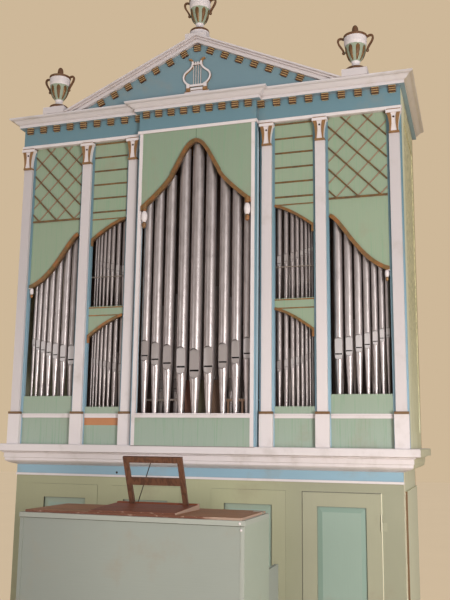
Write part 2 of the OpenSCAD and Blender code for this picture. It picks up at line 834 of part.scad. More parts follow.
// Chests that the pipes stand on, the pierced rack board of the back ranks, and the rack rails
module windchests() {
    y = bay_y + board;
    chest_y = y + 130;
    color(PINE) {
        box([-centre_open, board - centre_step, deck_z], [centre_open, 330, deck_z + sill_z - 12]);
        difference() {
            box([-centre_open, 110, rack_z], [centre_open, 290, rack_z + rack_h]);
            for (row = [0, 1], i = [-6 : 6])
                translate([i * back_step + row * 18 - 9, back_ranks[row][0], rack_z - 1])
                    cylinder(r = 0.46 * back_ranks[row][1], h = rack_h + 2);
        }
        both_sides() {
            box([centre_open - 24, 110, deck_z + sill_z - 12], [centre_open, 290, rack_z]);
            box([outer_x[0], y, deck_z], [outer_x[1], chest_y, deck_z + outer_open_z - 14]);
            box([bay_x[0], y, deck_z], [bay_x[1], chest_y, deck_z + inner_open_z - 12]);
            box([bay_x[0], y, deck_z + rail_z[0] + 30], [bay_x[1], chest_y, deck_z + rail_z[1] - 12]);
            box([bay_x[0] - 20, y, deck_z + 1306], [bay_x[1] + 20, y + 5, deck_z + 1314]);
        }
        box([-95, 74, deck_z + sill_z - 12], [195, 86, rack_z + 150]);
    }
}

console_band = 8;
console_front = console_band - case_back;
console_back = console_front + console_d;
console_half = console_w / 2;
cheek = 24;
key_bed_z = 700;
key_bed_t = 30;
knee_y = console_front + 180;

// Body of the console: front with a top band and corner beads, cheeks, top and key bed
module console_case() {
    inner = console_half - cheek;
    color(GREY_BLUE) {
        difference() {
            box([-console_half, console_front, 0], [console_half, console_back, console_h]);
            box([-inner, console_front + cheek, -1], [inner, console_back + 1, key_bed_z]);
            box([-inner, console_front + cheek, key_bed_z + key_bed_t],
                [inner, console_back + 1, console_h - cheek]);
        }
        box([-inner, knee_y, 0], [inner, knee_y + cheek, key_bed_z]);
        box([-console_half - console_band, console_front - console_band, console_h - 28],
            [console_half + console_band, console_front, console_h]);
        both_sides() box([console_half - 20, console_front - 3, 0],
                         [console_half + 3, console_front, console_h - 28]);
    }
}

lid_t = 14;
lid_half = 695;
lid_joint_y = console_front + 330;

// Two boards that lie on the console, hinged to each other along a joint
module console_lid() {
    color(BROWN) {
        box([-lid_half, console_front + 14, console_h], [lid_half, lid_joint_y, console_h + lid_t]);
        box([-lid_half, lid_joint_y + 3, console_h], [lid_half, console_back - 10, console_h + lid_t]);
    }
}

naturals = 32;
key_w = 23.5;
manual_w = naturals * key_w;

// Two keyboards, the upper one set back over the lower one, with slots between the keys
module console_manuals() {
    low = key_bed_z + key_bed_t;
    color(WHITE) for (level = [0, 1]) difference() {
        y = console_back - 190 - level * 122;
        z = low + level * 65;
        box([-manual_w / 2, y, low], [manual_w / 2, y + 160 - level * 38, z + 40]);
        for (i = [1 : naturals - 1])
            box([i * key_w - manual_w / 2 - 0.6, y + 60 - level * 38, z + 34],
                [i * key_w - manual_w / 2 + 0.6, y + 161, z + 41]);
    }
}

pedals = 27;
pedal_step = 38;

// Pedalboard: long keys between two cross rails
module pedalboard() {
    half = (pedals + 1) * pedal_step / 2;
    heel_y = console_back + 150;
    color(PINE) {
        box([-half, knee_y + cheek, 20], [half, knee_y + 70, 70]);
        for (i = [0 : pedals - 1]) {
            x = (i - (pedals - 1) / 2) * pedal_step;
            box([x - 11, knee_y + 70, 40], [x + 11, heel_y, 62]);
        }
        box([-half, heel_y, 0], [half, heel_y + 40, 70]);
    }
}

stand_x = 30;
stand_w = 400;
stand_y = console_front + 400;
stand_foot_z = console_h + lid_t + 28;
stand_h = 322;
stand_t = 18;
stand_lean = 24;
stile_w = 34;
top_rail_h = 38;
mid_rail_z = [130, 178];
desk_y = [console_front + 35, console_front + 465];
desk_top = console_h + lid_t + 36;
prop_r = 3;

// Desk board under the music stand, thicker towards the organist, with a flat for the stand
module music_stand_base() {
    z = console_h + lid_t;
    color(BROWN) translate([stand_x - 300, 0, 0]) rotate([90, 0, 90]) linear_extrude(555) polygon([
        [desk_y[0], z], [desk_y[1], z], [desk_y[1], desk_top], [desk_y[1] - 35, desk_top],
        [stand_y + stand_t + 4, stand_foot_z], [stand_y - 6, stand_foot_z], [desk_y[0], z + 10]
    ]);
}

// Point given in the leaning frame of the music stand
function on_stand(p) = [
    stand_x + p[0],
    stand_y + p[1] * cos(stand_lean) - p[2] * sin(stand_lean),
    stand_foot_z + p[1] * sin(stand_lean) + p[2] * cos(stand_lean)
];

// Open frame of two stiles, a top rail and a middle rail, leaning towards the church
module music_stand() {
    inner = stand_w / 2 - stile_w;
    color(BROWN) difference() {
        translate([stand_x, stand_y, stand_foot_z]) rotate([stand_lean, 0, 0]) difference() {
            translate([-stand_w / 2, 0, -stand_t]) cube([stand_w, stand_t, stand_h + stand_t]);
            translate([-inner, -1, -stand_t - 1]) cube([2 * inner, stand_t + 2, mid_rail_z[0] + stand_t + 1]);
            translate([-inner, -1, mid_rail_z[1]])
                cube([2 * inner, stand_t + 2, stand_h - top_rail_h - mid_rail_z[1]]);
        }
        box([stand_x - stand_w, stand_y - 50, stand_foot_z - 50],
            [stand_x + stand_w, stand_y + 50, stand_foot_z]);
    }
}

// Thin rod that props the stand from behind
module music_stand_prop() {
    color("dimgray") rod([stand_x - 160, desk_y[1] - 15, desk_top + 2.1],
                         on_stand([-10, stand_t + prop_r + 0.2, stand_h - 20]), prop_r);
}

bench_half = 690;
bench_seat_z = 600;
bench_end_z = 805;
bench_y = [console_back + 70, console_back + 345];

// Bench over the pedals: seat and stretcher between two end boards that rise past the seat
module bench() {
    color(GREY_BLUE) {
        both_sides() box([bench_half - cheek, bench_y[0], 0], [bench_half, bench_y[1], bench_end_z]);
        box([cheek - bench_half, bench_y[0] + 10, bench_seat_z - 28],
            [bench_half - cheek, bench_y[1] - 10, bench_seat_z]);
        box([cheek - bench_half, bench_y[1] - 40, 330], [bench_half - cheek, bench_y[1] - 16, 430]);
    }
}

lower_front();
lower_panel_frames();
lower_panels();
door_frame();
door_panel();
door_leaves();
hinge_leaves();
lower_side_walls();
middle_cornice();
case_deck();
centre_bay_boards();
centre_bay_posts();
centre_bay_cheeks();
side_bay_boards();
pilaster_backs();
pilasters();
capitals();
upper_side_walls();
back_wall();
white_beads();
friezes();
gold_blocks();
upper_cornice();
case_roof();
pediment_board();
raking_cornice();
lyre();
urn_plinths();
urns();
arch_trims();
lattices();
gold_rods();
centre_pipes();
outer_pipes();
inner_pipes();
back_pipes();
windchests();
console_case();
console_lid();
console_manuals();
pedalboard();
music_stand_base();
music_stand();
music_stand_prop();
bench();
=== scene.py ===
# %% [markdown]
# # A painted pipe organ
# This lesson dresses an imported CAD model of a church organ: a wooden case of about 1800 in its old paint,
# the tin front pipes, and the player's console that stands free before it. Every board, moulding and pipe
# is there at its real size, so Blender's work is the finishes, the small carved and turned details, and the
# light. The looks may not make the organ any bigger.

# %% Load the frame
import math

import bpy
from mathutils import Matrix, Vector


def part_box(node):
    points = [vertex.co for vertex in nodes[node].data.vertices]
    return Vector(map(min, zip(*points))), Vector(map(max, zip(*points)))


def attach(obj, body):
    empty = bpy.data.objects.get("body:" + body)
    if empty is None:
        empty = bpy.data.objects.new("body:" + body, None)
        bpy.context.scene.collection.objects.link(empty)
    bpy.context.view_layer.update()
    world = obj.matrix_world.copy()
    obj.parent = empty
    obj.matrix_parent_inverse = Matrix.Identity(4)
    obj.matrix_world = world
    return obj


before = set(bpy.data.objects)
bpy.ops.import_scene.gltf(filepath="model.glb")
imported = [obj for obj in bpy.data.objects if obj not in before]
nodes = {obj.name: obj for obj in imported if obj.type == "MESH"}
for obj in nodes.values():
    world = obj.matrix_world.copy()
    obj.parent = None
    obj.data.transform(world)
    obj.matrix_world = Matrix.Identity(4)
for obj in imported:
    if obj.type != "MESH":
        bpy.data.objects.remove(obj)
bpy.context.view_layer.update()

# %% [markdown]
# ## Shader maths that reads like maths
# A paint layer is easiest to think of as a sum: old green, minus a little where the brush left ridges, plus
# dirt in some places. Wired by hand, that is dozens of Math nodes. A small class that wraps an output
# socket and overloads the operators lets it be written as that sum. A Math node would turn a colour grey,
# so colours go through a Mix node, which has them on inputs 6 and 7 and on output 2.

# %% A class for sockets and one for finishes
def operator(operation):
    """A method that adds one Math node."""
    def method(self, *others):
        return self.finish.math(operation, self, *others)
    return method


class Wire:
    """An output socket of a finish. An operator on it adds a Math node and gives that node's output."""

    def __init__(self, finish, socket):
        self.finish = finish
        self.socket = socket

    __add__ = __radd__ = operator("ADD")
    __sub__ = operator("SUBTRACT")
    __mul__ = __rmul__ = operator("MULTIPLY")
    __truediv__ = operator("DIVIDE")
    __lt__ = operator("LESS_THAN")
    __gt__ = operator("GREATER_THAN")
    __abs__ = operator("ABSOLUTE")

    def __rsub__(self, other):
        return self.finish.math("SUBTRACT", other, self)

    def within(self, low, high):
        """1 where the value lies between low and high, else 0."""
        return (self > low) * (self < high)

    def smooth(self, low, high):
        """Rises from 0 to 1 as the value goes from low to high."""
        settings = {"interpolation_type": "SMOOTHSTEP"}
        return self.finish.node("MapRange", settings, {0: self, 1: low, 2: high, 3: 0.0, 4: 1.0})


class Finish:
    """A material in the making. Places are in metres in the frame of the organ."""

    def __init__(self, name):
        self.material = bpy.data.materials.new(name)
        self.material.use_nodes = True
        self.tree = self.material.node_tree
        self.tree.nodes.clear()
        self.place = self.node("TexCoord", output="Object")
        self.x, self.y, self.z = self.split(self.place)
        facing = self.node("TexCoord", output="Normal")
        self.facing_x, self.facing_y, self.facing_z = self.split(facing)

    def node(self, kind, settings=None, sockets=None, output=0):
        """Adds any node: its settings are set first, then its sockets get values or links."""
        node = self.tree.nodes.new("ShaderNode" + kind)
        for name, value in (settings or {}).items():
            setattr(node, name, value)
        for key, value in (sockets or {}).items():
            if isinstance(value, Wire):
                self.tree.links.new(value.socket, node.inputs[key])
            else:
                node.inputs[key].default_value = value
        return Wire(self, node.outputs[output])

    def math(self, operation, *values):
        return self.node("Math", {"operation": operation}, dict(enumerate(values)))

    def vector(self, operation, *values, output="Vector"):
        return self.node("VectorMath", {"operation": operation}, dict(enumerate(values)), output)

    def end(self, kind, shader):
        """Joins a shader to the output node of a material or of the world."""
        output = self.tree.nodes.new("ShaderNodeOutput" + kind)
        self.tree.links.new(shader.socket, output.inputs["Surface"])

    def split(self, vector):
        first = self.node("SeparateXYZ", sockets={0: vector})
        return [Wire(self, socket) for socket in first.socket.node.outputs]

    def mix(self, share, first, second):
        """The first colour where share is 0, the second where it is 1."""
        return self.node("Mix", {"data_type": "RGBA"}, {0: share, 6: first, 7: second}, output=2)

    def times(self, colour, value):
        """A colour made lighter or darker by a value around 1."""
        plain = colour if isinstance(colour, Wire) else colour[:3]
        return self.node("VectorMath", {"operation": "SCALE"}, {0: plain, 3: value})

    def stretched(self, x=1.0, y=1.0, z=1.0):
        """The place with each axis scaled, for noise that runs along a grain."""
        return self.vector("MULTIPLY", self.place, (x, y, z))

    def grained(self, grain, along, across):
        """The place scaled by one number along the axis of the grain and by another across it."""
        return self.stretched(**{axis: (along if axis == grain else across) for axis in "xyz"})

    def noise(self, scale=1.0, detail=2.0, place=None, rough=0.5):
        sockets = {"Vector": place or self.place, "Scale": scale, "Detail": detail, "Roughness": rough}
        return self.node("TexNoise", sockets=sockets)

    def openness(self, reach=0.03, samples=8):
        """1 where a surface lies open, less in corners and under ledges, by an Ambient Occlusion node."""
        return self.node("AmbientOcclusion", {"samples": samples}, {"Distance": reach}, output="AO")

    def finish(self, colour, rough, metal=0.0, height=None, depth=0.001, **constants):
        """Closes the material with a Principled shader and, where there is a height, a bump."""
        sockets = {"Base Color": colour, "Roughness": rough, "Metallic": metal, **constants}
        if height is not None:
            bump = {"Strength": 1.0, "Distance": depth, "Height": height}
            sockets["Normal"] = self.node("Bump", sockets=bump)
        self.end("Material", self.node("BsdfPrincipled", sockets=sockets))
        return self.material


def paint(red, green, blue):
    """A colour as it is read off a screen, 0 to 255, turned into the linear values that shaders use."""
    shares = [value / 255 for value in (red, green, blue)]
    linear = [s / 12.92 if s < 0.04045 else ((s + 0.055) / 1.055) ** 2.4 for s in shares]
    return (*linear, 1.0)


def wear(finish, *names):
    """Gives a finish to CAD nodes."""
    for name in names:
        mesh = nodes[name].data
        mesh.materials.clear()
        mesh.materials.append(finish)


print("Wire and Finish are ready")

# %% [markdown]
# ## One way to make old brush paint
# Everything wooden in front is painted with oil paint by hand. Seen close, it has long ridges from the
# brush, patches where a later coat has another tone, a bloom of dust, and a few chips. A photograph of
# paint could be projected on the boards, but noise in the frame's own metres keeps one scale on every
# piece. So one function mixes these layers. A finish with more than one colour gives it a function that
# paints the others over the first, before the dust goes on. In all of them f is the finish in the making,
# and a line between two colours lies a small margin off the surface that it follows.

# %% Brush paint
DUST = paint(150, 134, 112)
BARE_WOOD = paint(176, 124, 84)
CORNER_SHADE = paint(112, 92, 88)
margin = 0.001


def brush_paint(name, colour, grain="z", tone=0.05, chips=0.0, rough=0.5, zones=None, corner_shade=0.0):
    """Old oil paint, brushed along an axis. tone is how far the patches differ, chips how much is bare and
    corner_shade how far painted shade darkens the corners."""
    f = Finish(name)
    patches = f.noise(1.7, 3.0)
    clouds = f.noise(7.0, 4.0, rough=0.6)
    brush = f.noise(1.0, 3.0, f.grained(grain, along=5.0, across=150.0), rough=0.6)
    coat = zones(f, colour) if zones else colour
    tint = 1.0 - tone + patches * tone * 1.3 + clouds * tone * 0.7 + (brush - 0.5) * tone * 0.9
    coat = f.times(coat, tint)
    dusty = (clouds * patches).smooth(0.26, 0.5) * 0.35
    coat = f.mix(dusty, coat, DUST)
    # Painted shade: an Ambient Occlusion node darkens corners and the undersides of ledges.
    if corner_shade:
        coat = f.mix((1 - f.openness().smooth(0.35, 0.8)) * corner_shade, coat, CORNER_SHADE)
    if chips:
        flakes = f.noise(34.0, 5.0, rough=0.7)
        bare = (flakes + (clouds - 0.5) * 0.3).smooth(0.80 - chips, 0.82 - chips)
        coat = f.mix(bare, coat, BARE_WOOD)
    sheen = rough + (clouds - 0.5) * 0.16 + (brush - 0.5) * 0.12
    return f.finish(coat, sheen, height=brush + clouds * 0.6, depth=0.0006)


print("paint shop open")

# %% [markdown]
# ## White mouldings and pilasters
# The mouldings are a warm white with a little pink in it, the upper cornice a cooler one. Where the
# cornices turn the corner of the case they are cream below and beige above, so those faces are told apart
# by which way they look: a return faces sideways. The underside of the upper cornice looks down and is
# blue, as the frieze under it. The pilasters have a brown line round the top of their bases, and they are
# greyer towards the top. The outer two are darker again above their bases, partly smoke and partly
# painted shade at the ends of the case.

# %% White paint
WHITE = paint(224, 213, 212)
SHAFT_WHITE = paint(208, 198, 198)
CREAM = paint(202, 197, 166)
BEIGE = paint(194, 182, 168)
COOL_WHITE = paint(211, 203, 204)
SOFFIT_BLUE = paint(136, 160, 172)
BRONZE = paint(120, 86, 52)
upper_storey = 3.0
case_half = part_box("lower_side_walls")[1].x
case_end = case_half - 0.02
cornice_low, cornice_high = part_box("upper_cornice")
cornice_foot = cornice_low.z - margin
cornice_head = cornice_high.z + margin
soffit_head = cornice_foot + 0.004
base_top = 1.806
base_line = 0.0095
outer_from = 1.3


def cream_returns(f, colour):
    sideways = abs(f.facing_x) > abs(f.facing_y) + 0.15
    end_colour = f.mix(f.z > upper_storey, CREAM, BEIGE)
    upper = f.z.within(cornice_foot, cornice_head)
    coat = f.mix(upper * (f.facing_z < 0.2), colour, COOL_WHITE)
    coat = f.mix(upper * (f.z < soffit_head) * (f.facing_z < -0.8), coat, SOFFIT_BLUE)
    coat = f.mix(f.z > cornice_head, coat, SHAFT_WHITE)
    return f.mix(sideways * (abs(f.x) > case_end), coat, end_colour)


def shaft_and_line(f, colour):
    coat = f.mix(f.z.smooth(base_top - 0.1, upper_storey), colour, SHAFT_WHITE)
    # Partly smoke, partly painted shade: the outer two shafts are darker above their bases.
    coat = f.times(coat, 1 - (abs(f.x) > outer_from) * (f.z > base_top) * 0.12)
    return f.mix(f.z.within(base_top - base_line, base_top + base_line), coat, BRONZE)


wear(brush_paint("moulding_white", WHITE, "x", 0.04, chips=0.01, zones=cream_returns, corner_shade=0.55),
     "middle_cornice", "upper_cornice", "raking_cornice", "white_beads", "urn_plinths")
wear(brush_paint("pilaster_white", WHITE, tone=0.035, chips=0.01, zones=shaft_and_line), "pilasters")
post_white = brush_paint("post_white", WHITE, chips=0.02)
wear(post_white, "centre_bay_posts")
print("white paint on 7 nodes")

# %% [markdown]
# ## Blues
# The friezes, the strips beside the pilasters and the pediment share one sky blue, which is darker and
# greyer up high. The groove beside the middle bay is painted paler, as painted light where the groove lies
# in shade. The lower frieze has a knot hole, which is every place near enough to the knot.

# %% Blue paint
BLUE = paint(143, 174, 190)
GREYER_BLUE = paint(104, 136, 147)
GROOVE_PAINTED_LIGHT = paint(214, 232, 240)
KNOT = paint(38, 30, 26)
greying_heights = (1.8, 3.6)
groove_front = -0.004
knot = Vector((-0.633, 0.076, 1.360))
knot_radius = 0.009


def frieze_and_knot(f, colour):
    coat = f.mix(f.z > upper_storey, colour, GREYER_BLUE)
    away = f.vector("DISTANCE", f.place, knot, output="Value")
    return f.mix(away < knot_radius, coat, KNOT)


def greyed_up_high(f, colour):
    return f.mix(f.z.smooth(*greying_heights), colour, GREYER_BLUE)


def pale_groove(f, colour):
    # Painted light: the back of the groove is a near-white blue that lifts its shade.
    return f.mix(f.y > groove_front, greyed_up_high(f, colour), GROOVE_PAINTED_LIGHT)


wear(brush_paint("frieze_blue", BLUE, "x", 0.06, chips=0.02, zones=frieze_and_knot, corner_shade=0.5), "friezes")
wear(brush_paint("strip_blue", BLUE, tone=0.06, chips=0.03, zones=greyed_up_high), "pilaster_backs")
wear(brush_paint("cheek_blue", BLUE, tone=0.06, chips=0.02, zones=pale_groove), "centre_bay_cheeks")
wear(brush_paint("pediment_blue", paint(116, 142, 151), "x", 0.08, chips=0.01), "pediment_board")
print("blue paint on 4 nodes")

# %% [markdown]
# ## Green bays
# The boards of the bays are pale green, lighter low down, with upright streaks of a stronger green. The
# sawn edges that look down into the arches are brown, as the ribbons are. A strip under one sill was never
# painted, and a thin dark joint divides the board over the middle arch.

# %% Pale green paint
PALE_GREEN = paint(145, 160, 135)
ARCH_GREEN = paint(139, 155, 132)
LOW_GREEN = paint(157, 171, 156)
STREAK_GREEN = paint(124, 160, 128)
EDGE_BROWN = paint(92, 66, 44)
BARE_STRIP = paint(186, 124, 80)
JOINT_AND_SHADE_DARK = paint(70, 70, 54)
pale_heights = (1.4, 2.4)
arch_low = 1.9
bare_strip_x = (-0.902, -0.600)
bare_strip_z = (1.712, 1.770)
board_joint_half = 0.0016
board_joint_low = 3.3


def worn_green(f, colour):
    coat = f.mix(f.z.smooth(*pale_heights), LOW_GREEN, colour)
    streaks = f.noise(1.0, 3.0, f.stretched(70.0, 70.0, 2.2), rough=0.6).smooth(0.52, 0.66)
    coat = f.mix(streaks * 0.4, coat, STREAK_GREEN)
    sawn = (abs(f.facing_y) < 0.5) * (f.facing_z < -0.1) * (f.z > arch_low)
    return f.mix(sawn, coat, EDGE_BROWN)


def bay_green(f, colour):
    bare = f.x.within(*bare_strip_x) * f.z.within(*bare_strip_z)
    return f.mix(bare, worn_green(f, colour), BARE_STRIP)


def centre_joint(f, colour):
    joint = (abs(f.x) < board_joint_half) * (f.z > board_joint_low)
    return f.mix(joint, worn_green(f, colour), JOINT_AND_SHADE_DARK)


wear(brush_paint("bay_green", PALE_GREEN, tone=0.07, chips=0.01, zones=bay_green), "side_bay_boards")
wear(brush_paint("arch_green", ARCH_GREEN, tone=0.08, chips=0.01, zones=centre_joint), "centre_bay_boards")
print("green paint on the bays")

# %% [markdown]
# ## Olive and sea green
# The lower case is olive, and its raised panels are sea green. Left of the door, where the console stands
# before the case, the olive is painted yellower and paler as painted light, and towards the far left it is
# painted darker as painted shade. The fixed frames have dark edges, so that their joints show as thin
# lines. The jambs inside the door's opening are painted lighter as painted light, and cream on the hinge
# side, where a band of it shows in front.

# %% Olive and sea green paint
OLIVE = paint(168, 165, 140)
LIGHT_OLIVE = paint(179, 177, 141)
FRONT_OLIVE = paint(160, 158, 134)
SEA_GREEN = paint(152, 170, 156)
BEVEL_GREEN = paint(138, 160, 146)
GREY_BEVEL = paint(156, 167, 147)
PAINTED_LIGHT_EDGE = paint(192, 191, 178)
CREAM_EDGE = paint(230, 224, 196)
toward_door = (0.2, 1.0)
far_left = (-1.7, -0.6)
door_gap = 0.006
door_low, door_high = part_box("door_frame")
hole_low_x = door_low.x - door_gap
hole_high_x = door_high.x + door_gap
hole_top = door_high.z + door_gap
jamb_band = 0.0012


def lighter_left(f, colour):
    # Painted light: paler olive left of the door, where the console stands before the case. Painted shade:
    # darker towards the far left.
    coat = f.mix(f.x.smooth(*toward_door), LIGHT_OLIVE, colour)
    return f.times(coat, 0.76 + f.x.smooth(*far_left) * 0.22)


def pale_jambs(f, colour):
    # Painted light: the faces inside the door's opening are lighter, to lift the shade in the joint.
    inside = f.x.within(hole_low_x - margin, hole_high_x + margin) * (f.z < hole_top + margin)
    hinge_side = f.x.within(hole_high_x - margin, hole_high_x + jamb_band) * (f.z < hole_top)
    coat = f.mix(inside, lighter_left(f, colour), PAINTED_LIGHT_EDGE)
    end_face = (abs(f.facing_x) > 0.5) * (abs(f.x) > case_end)
    return f.mix((hinge_side + end_face) > 0.5, coat, CREAM_EDGE)


def frame_edges(f, colour):
    return f.mix(abs(f.facing_y) < 0.5, lighter_left(f, colour), JOINT_AND_SHADE_DARK)


def bevelled(f, colour):
    """The bevel round a raised panel is a little darker than its field, and greyer away from the door."""
    bevel = (abs(f.facing_x) + abs(f.facing_z)) > 0.04
    return f.mix(bevel, colour, f.mix(f.x.smooth(*toward_door), GREY_BEVEL, BEVEL_GREEN))


wear(brush_paint("front_olive", FRONT_OLIVE, tone=0.07, chips=0.01, zones=pale_jambs), "lower_front")
wear(brush_paint("frame_olive", OLIVE, tone=0.07, chips=0.01, zones=frame_edges), "lower_panel_frames")
wear(brush_paint("sea_green", SEA_GREEN, tone=0.06, chips=0.01, zones=bevelled, corner_shade=0.5),
     "lower_panels", "door_panel")
print("opening of the door from x", round(hole_low_x, 3), "to", round(hole_high_x, 3))

# %% [markdown]
# ## The console's paint
# Console and bench are grey-green. The band under the lid and the right corner are paler, a painted
# shadow runs under the band, and the console is painted darker towards the left end, as painted shade.

# %% Grey-green paint
GREY_GREEN = paint(151, 155, 146)
CONSOLE_EDGE = paint(166, 168, 158)
CONSOLE_END = paint(160, 167, 152)
console_low, console_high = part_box("console_case")
console_band = 0.028
band_overhang = 0.008
corner_width = 0.024
band_shadow_height = 0.004
dark_end = (-0.85, 0.15)


def console_edges(f, colour):
    under = console_high.z - console_band
    band = f.z > under
    corner = f.x > console_high.x - band_overhang - corner_width
    front = f.facing_y < -0.5
    coat = f.mix(abs(f.facing_x) > 0.5, colour, CONSOLE_END)
    coat = f.mix((band + corner * front) > 0.5, coat, CONSOLE_EDGE)
    # Painted shadow under the band, and painted shade darkening towards the left end.
    coat = f.mix(f.z.within(under - band_shadow_height, under) * front, coat, JOINT_AND_SHADE_DARK)
    return f.times(coat, 0.77 + f.x.smooth(*dark_end) * 0.23)


wear(brush_paint("console_grey_green", GREY_GREEN, "x", zones=console_edges), "console_case")
wear(brush_paint("bench_grey_green", GREY_GREEN, "x", 0.06, chips=0.02), "bench")
print("console", round(console_high.x - console_low.x, 3), "m wide")

# %% [markdown]
# ## The door and the sides
# The edge of the door on its hinge side has lost its olive coat and shows the cream under it, and its top
# edge is painted lighter as painted light. The hinge leaves were painted with the door, and their knuckle
# is cream, with painted shade on its flanks. On the lower side of the case a panel stands proud, and its
# front edge was never painted. On the upper side a cream stile runs up the front, and the field behind it
# is sponged, olive on cream, as a poor man's marble.

# %% Door and side paint
SIDE_CREAM = paint(208, 206, 178)
PANEL_EDGE = paint(112, 82, 54)
SPONGE_OLIVE = paint(163, 157, 112)
SPONGE_CREAM = paint(218, 208, 162)
STREAK_CREAM = paint(216, 204, 164)
RUBBED_CREAM = paint(200, 194, 152)
stile_end = 0.28
worn_off_heights = (1.8, 2.7)
hinge_axis_x = 1.342
knuckle_radius = 0.0065
proud_from = case_half - 0.014
proud_front, proud_corner = 0.17, 0.177


def worn_edge_and_lit_top(f, colour):
    # Painted light: the door's top edge is lighter, where the joint lies in shade.
    top = (f.z > door_high.z - margin) * (f.facing_z > 0.5)
    coat = f.mix(top, colour, PAINTED_LIGHT_EDGE)
    return f.mix((f.x > door_high.x - margin) * (f.facing_x > 0.5), coat, CREAM_EDGE)


def painted_hinge(f, colour):
    # Painted shade: the knuckle's flanks are dark.
    knuckle = f.mix(abs(f.facing_x) > 0.75, CREAM_EDGE, JOINT_AND_SHADE_DARK)
    return f.mix(abs(f.x - hinge_axis_x) < knuckle_radius, colour, knuckle)


def sponged(f, colour):
    field = (f.y > stile_end) * (abs(f.x) > case_half)
    dabs = f.noise(26.0, 5.0, rough=0.7).smooth(0.42, 0.60)
    streaks = f.noise(1.0, 3.0, f.stretched(30.0, 30.0, 1.5)).smooth(0.40, 0.62)
    sponge = f.mix(dabs, SPONGE_OLIVE, SPONGE_CREAM)
    sponge = f.mix(streaks * 0.35, sponge, STREAK_CREAM)
    worn_off = 1 - f.z.smooth(*worn_off_heights) * 0.85
    sponge = f.mix(worn_off, sponge, f.mix(streaks, colour, RUBBED_CREAM))
    return f.mix(field, colour, sponge)


def bare_front_edge(f, colour):
    proud = (abs(f.x) > proud_from) * (f.facing_y < -0.5) * (f.y > proud_front)
    corner = (f.y < proud_corner) * (abs(f.facing_x) > 0.5)
    return f.mix(proud, f.mix(corner, colour, CREAM_EDGE), PANEL_EDGE)


wear(brush_paint("door_olive", OLIVE, tone=0.07, chips=0.01, zones=worn_edge_and_lit_top), "door_frame")
wear(brush_paint("hinge_olive", OLIVE, zones=painted_hinge), "door_leaves", "hinge_leaves")
wear(brush_paint("side_cream", SIDE_CREAM, tone=0.06, chips=0.02, zones=bare_front_edge),
     "lower_side_walls")
wear(brush_paint("side_sponged", paint(218, 215, 182), tone=0.06, chips=0.01, zones=sponged),
     "upper_side_walls")
print("door edge at x", round(door_high.x, 3))

# %% [markdown]
# ## Bronze and gilt
# The ribbons, lattices and rods aren't leaf gold. They are bronze powder in varnish, gone brown, and
# brighter only where it is thick. So one noise mixes brown and gilt, and sets Metallic by the same share.

# %% Bronze paint
GILT = paint(178, 136, 82)
DARK_BROWN = paint(84, 54, 36)
REDDISH_LATH = paint(152, 120, 98)
thin_lath_front = 0.0225


def bronze_paint(name, colour=BRONZE, zones=None):
    """Bronze powder over brown. zones gives back a colour and how far each place is metal."""
    f = Finish(name)
    thick = f.noise(22.0, 4.0, rough=0.65).smooth(0.35, 0.7)
    streaks = f.noise(1.0, 2.0, f.stretched(60.0, 60.0, 60.0))
    coat = f.mix(thick * 0.45, colour, GILT)
    shine = 0.15 + thick * 0.35
    if zones:
        coat, shine = zones(f, coat, shine)
    coat = f.times(coat, 0.88 + streaks * 0.24)
    return f.finish(coat, 0.5 - thick * 0.14, metal=shine, height=streaks + thick, depth=0.0005)


def two_laths(f, coat, shine):
    """The laths that lie behind are thinner, and redder and paler too."""
    behind = f.y > thin_lath_front
    return f.mix(behind, coat, REDDISH_LATH), shine * (1 - behind)


wear(bronze_paint("lattice_bronze", paint(98, 74, 50), two_laths), "lattices")
wear(bronze_paint("rod_bronze", paint(100, 74, 50)), "gold_rods")
print("lattices and rods are bronze")

# %% [markdown]
# The blocks under the cornices have three ridges each, with a gilt top painted bright as a highlight, a
# red-brown face and painted shade in the groove under it, so the colour follows the distance below the
# block's own top. On the pediment that distance is measured across the slope, but for the upright block at
# its very top.

# %% Ridged blocks
RIDGE_RED = paint(112, 74, 48)
RIDGE_GILT_HIGHLIGHT = paint(206, 172, 118)
RIDGE_GROOVE_SHADE = paint(66, 44, 32)
pediment_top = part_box("pediment_board")[1].z
rake = 0.451
slope_share = 1 / math.sqrt(1 + rake * rake)
rake_drop = 0.063
top_block_drop = 0.013
top_block_half = 0.03
ridge = 0.0173
highlight_share, groove_share = 0.26, 0.72


def ridged(f, coat, shine):
    level = cornice_low.z - f.z
    sloped = (pediment_top - rake_drop - f.z - abs(f.x) * rake) * slope_share
    top_block = pediment_top - rake_drop - top_block_drop - f.z
    raised = f.z > cornice_low.z + 0.05
    below = level * (1 - raised) + raised * (sloped + (top_block - sloped) * (abs(f.x) < top_block_half))
    along = f.math("FRACT", below / ridge)
    # Painted highlight on the top of each ridge, painted shade in the groove under it.
    coat = f.mix(along < highlight_share, RIDGE_RED, RIDGE_GILT_HIGHLIGHT)
    coat = f.mix(along > groove_share, coat, RIDGE_GROOVE_SHADE)
    return coat, shine * 0.6


wear(bronze_paint("block_bronze", zones=ridged), "gold_blocks")
print("pediment top", round(pediment_top, 3))

# %% [markdown]
# ## Capitals, pendants, lyre and urns
# These carved and turned pieces are white, with bronze where the form asks for it: the leaves of a capital,
# the knots of a pendant, the edges of the lyre, and the rim, handles and knob of an urn. Each rule is a
# place on the piece itself, counted from the CAD box of its node.

# %% Capitals
LEAF_GILT = paint(158, 116, 70)
BUD_BROWN = paint(72, 54, 46)
capital_low, capital_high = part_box("capitals")
pilaster_places = (0.550, 0.957, 1.4995)
ring_top = capital_low.z + 0.014 + margin
abacus_low = capital_high.z - 0.030
abacus_top = capital_high.z - 0.0085
bud_height = capital_high.z - 0.062
bud_half = 0.0095
leaf_front, leaf_inner = -0.0145, 0.012
bud_front = -0.013


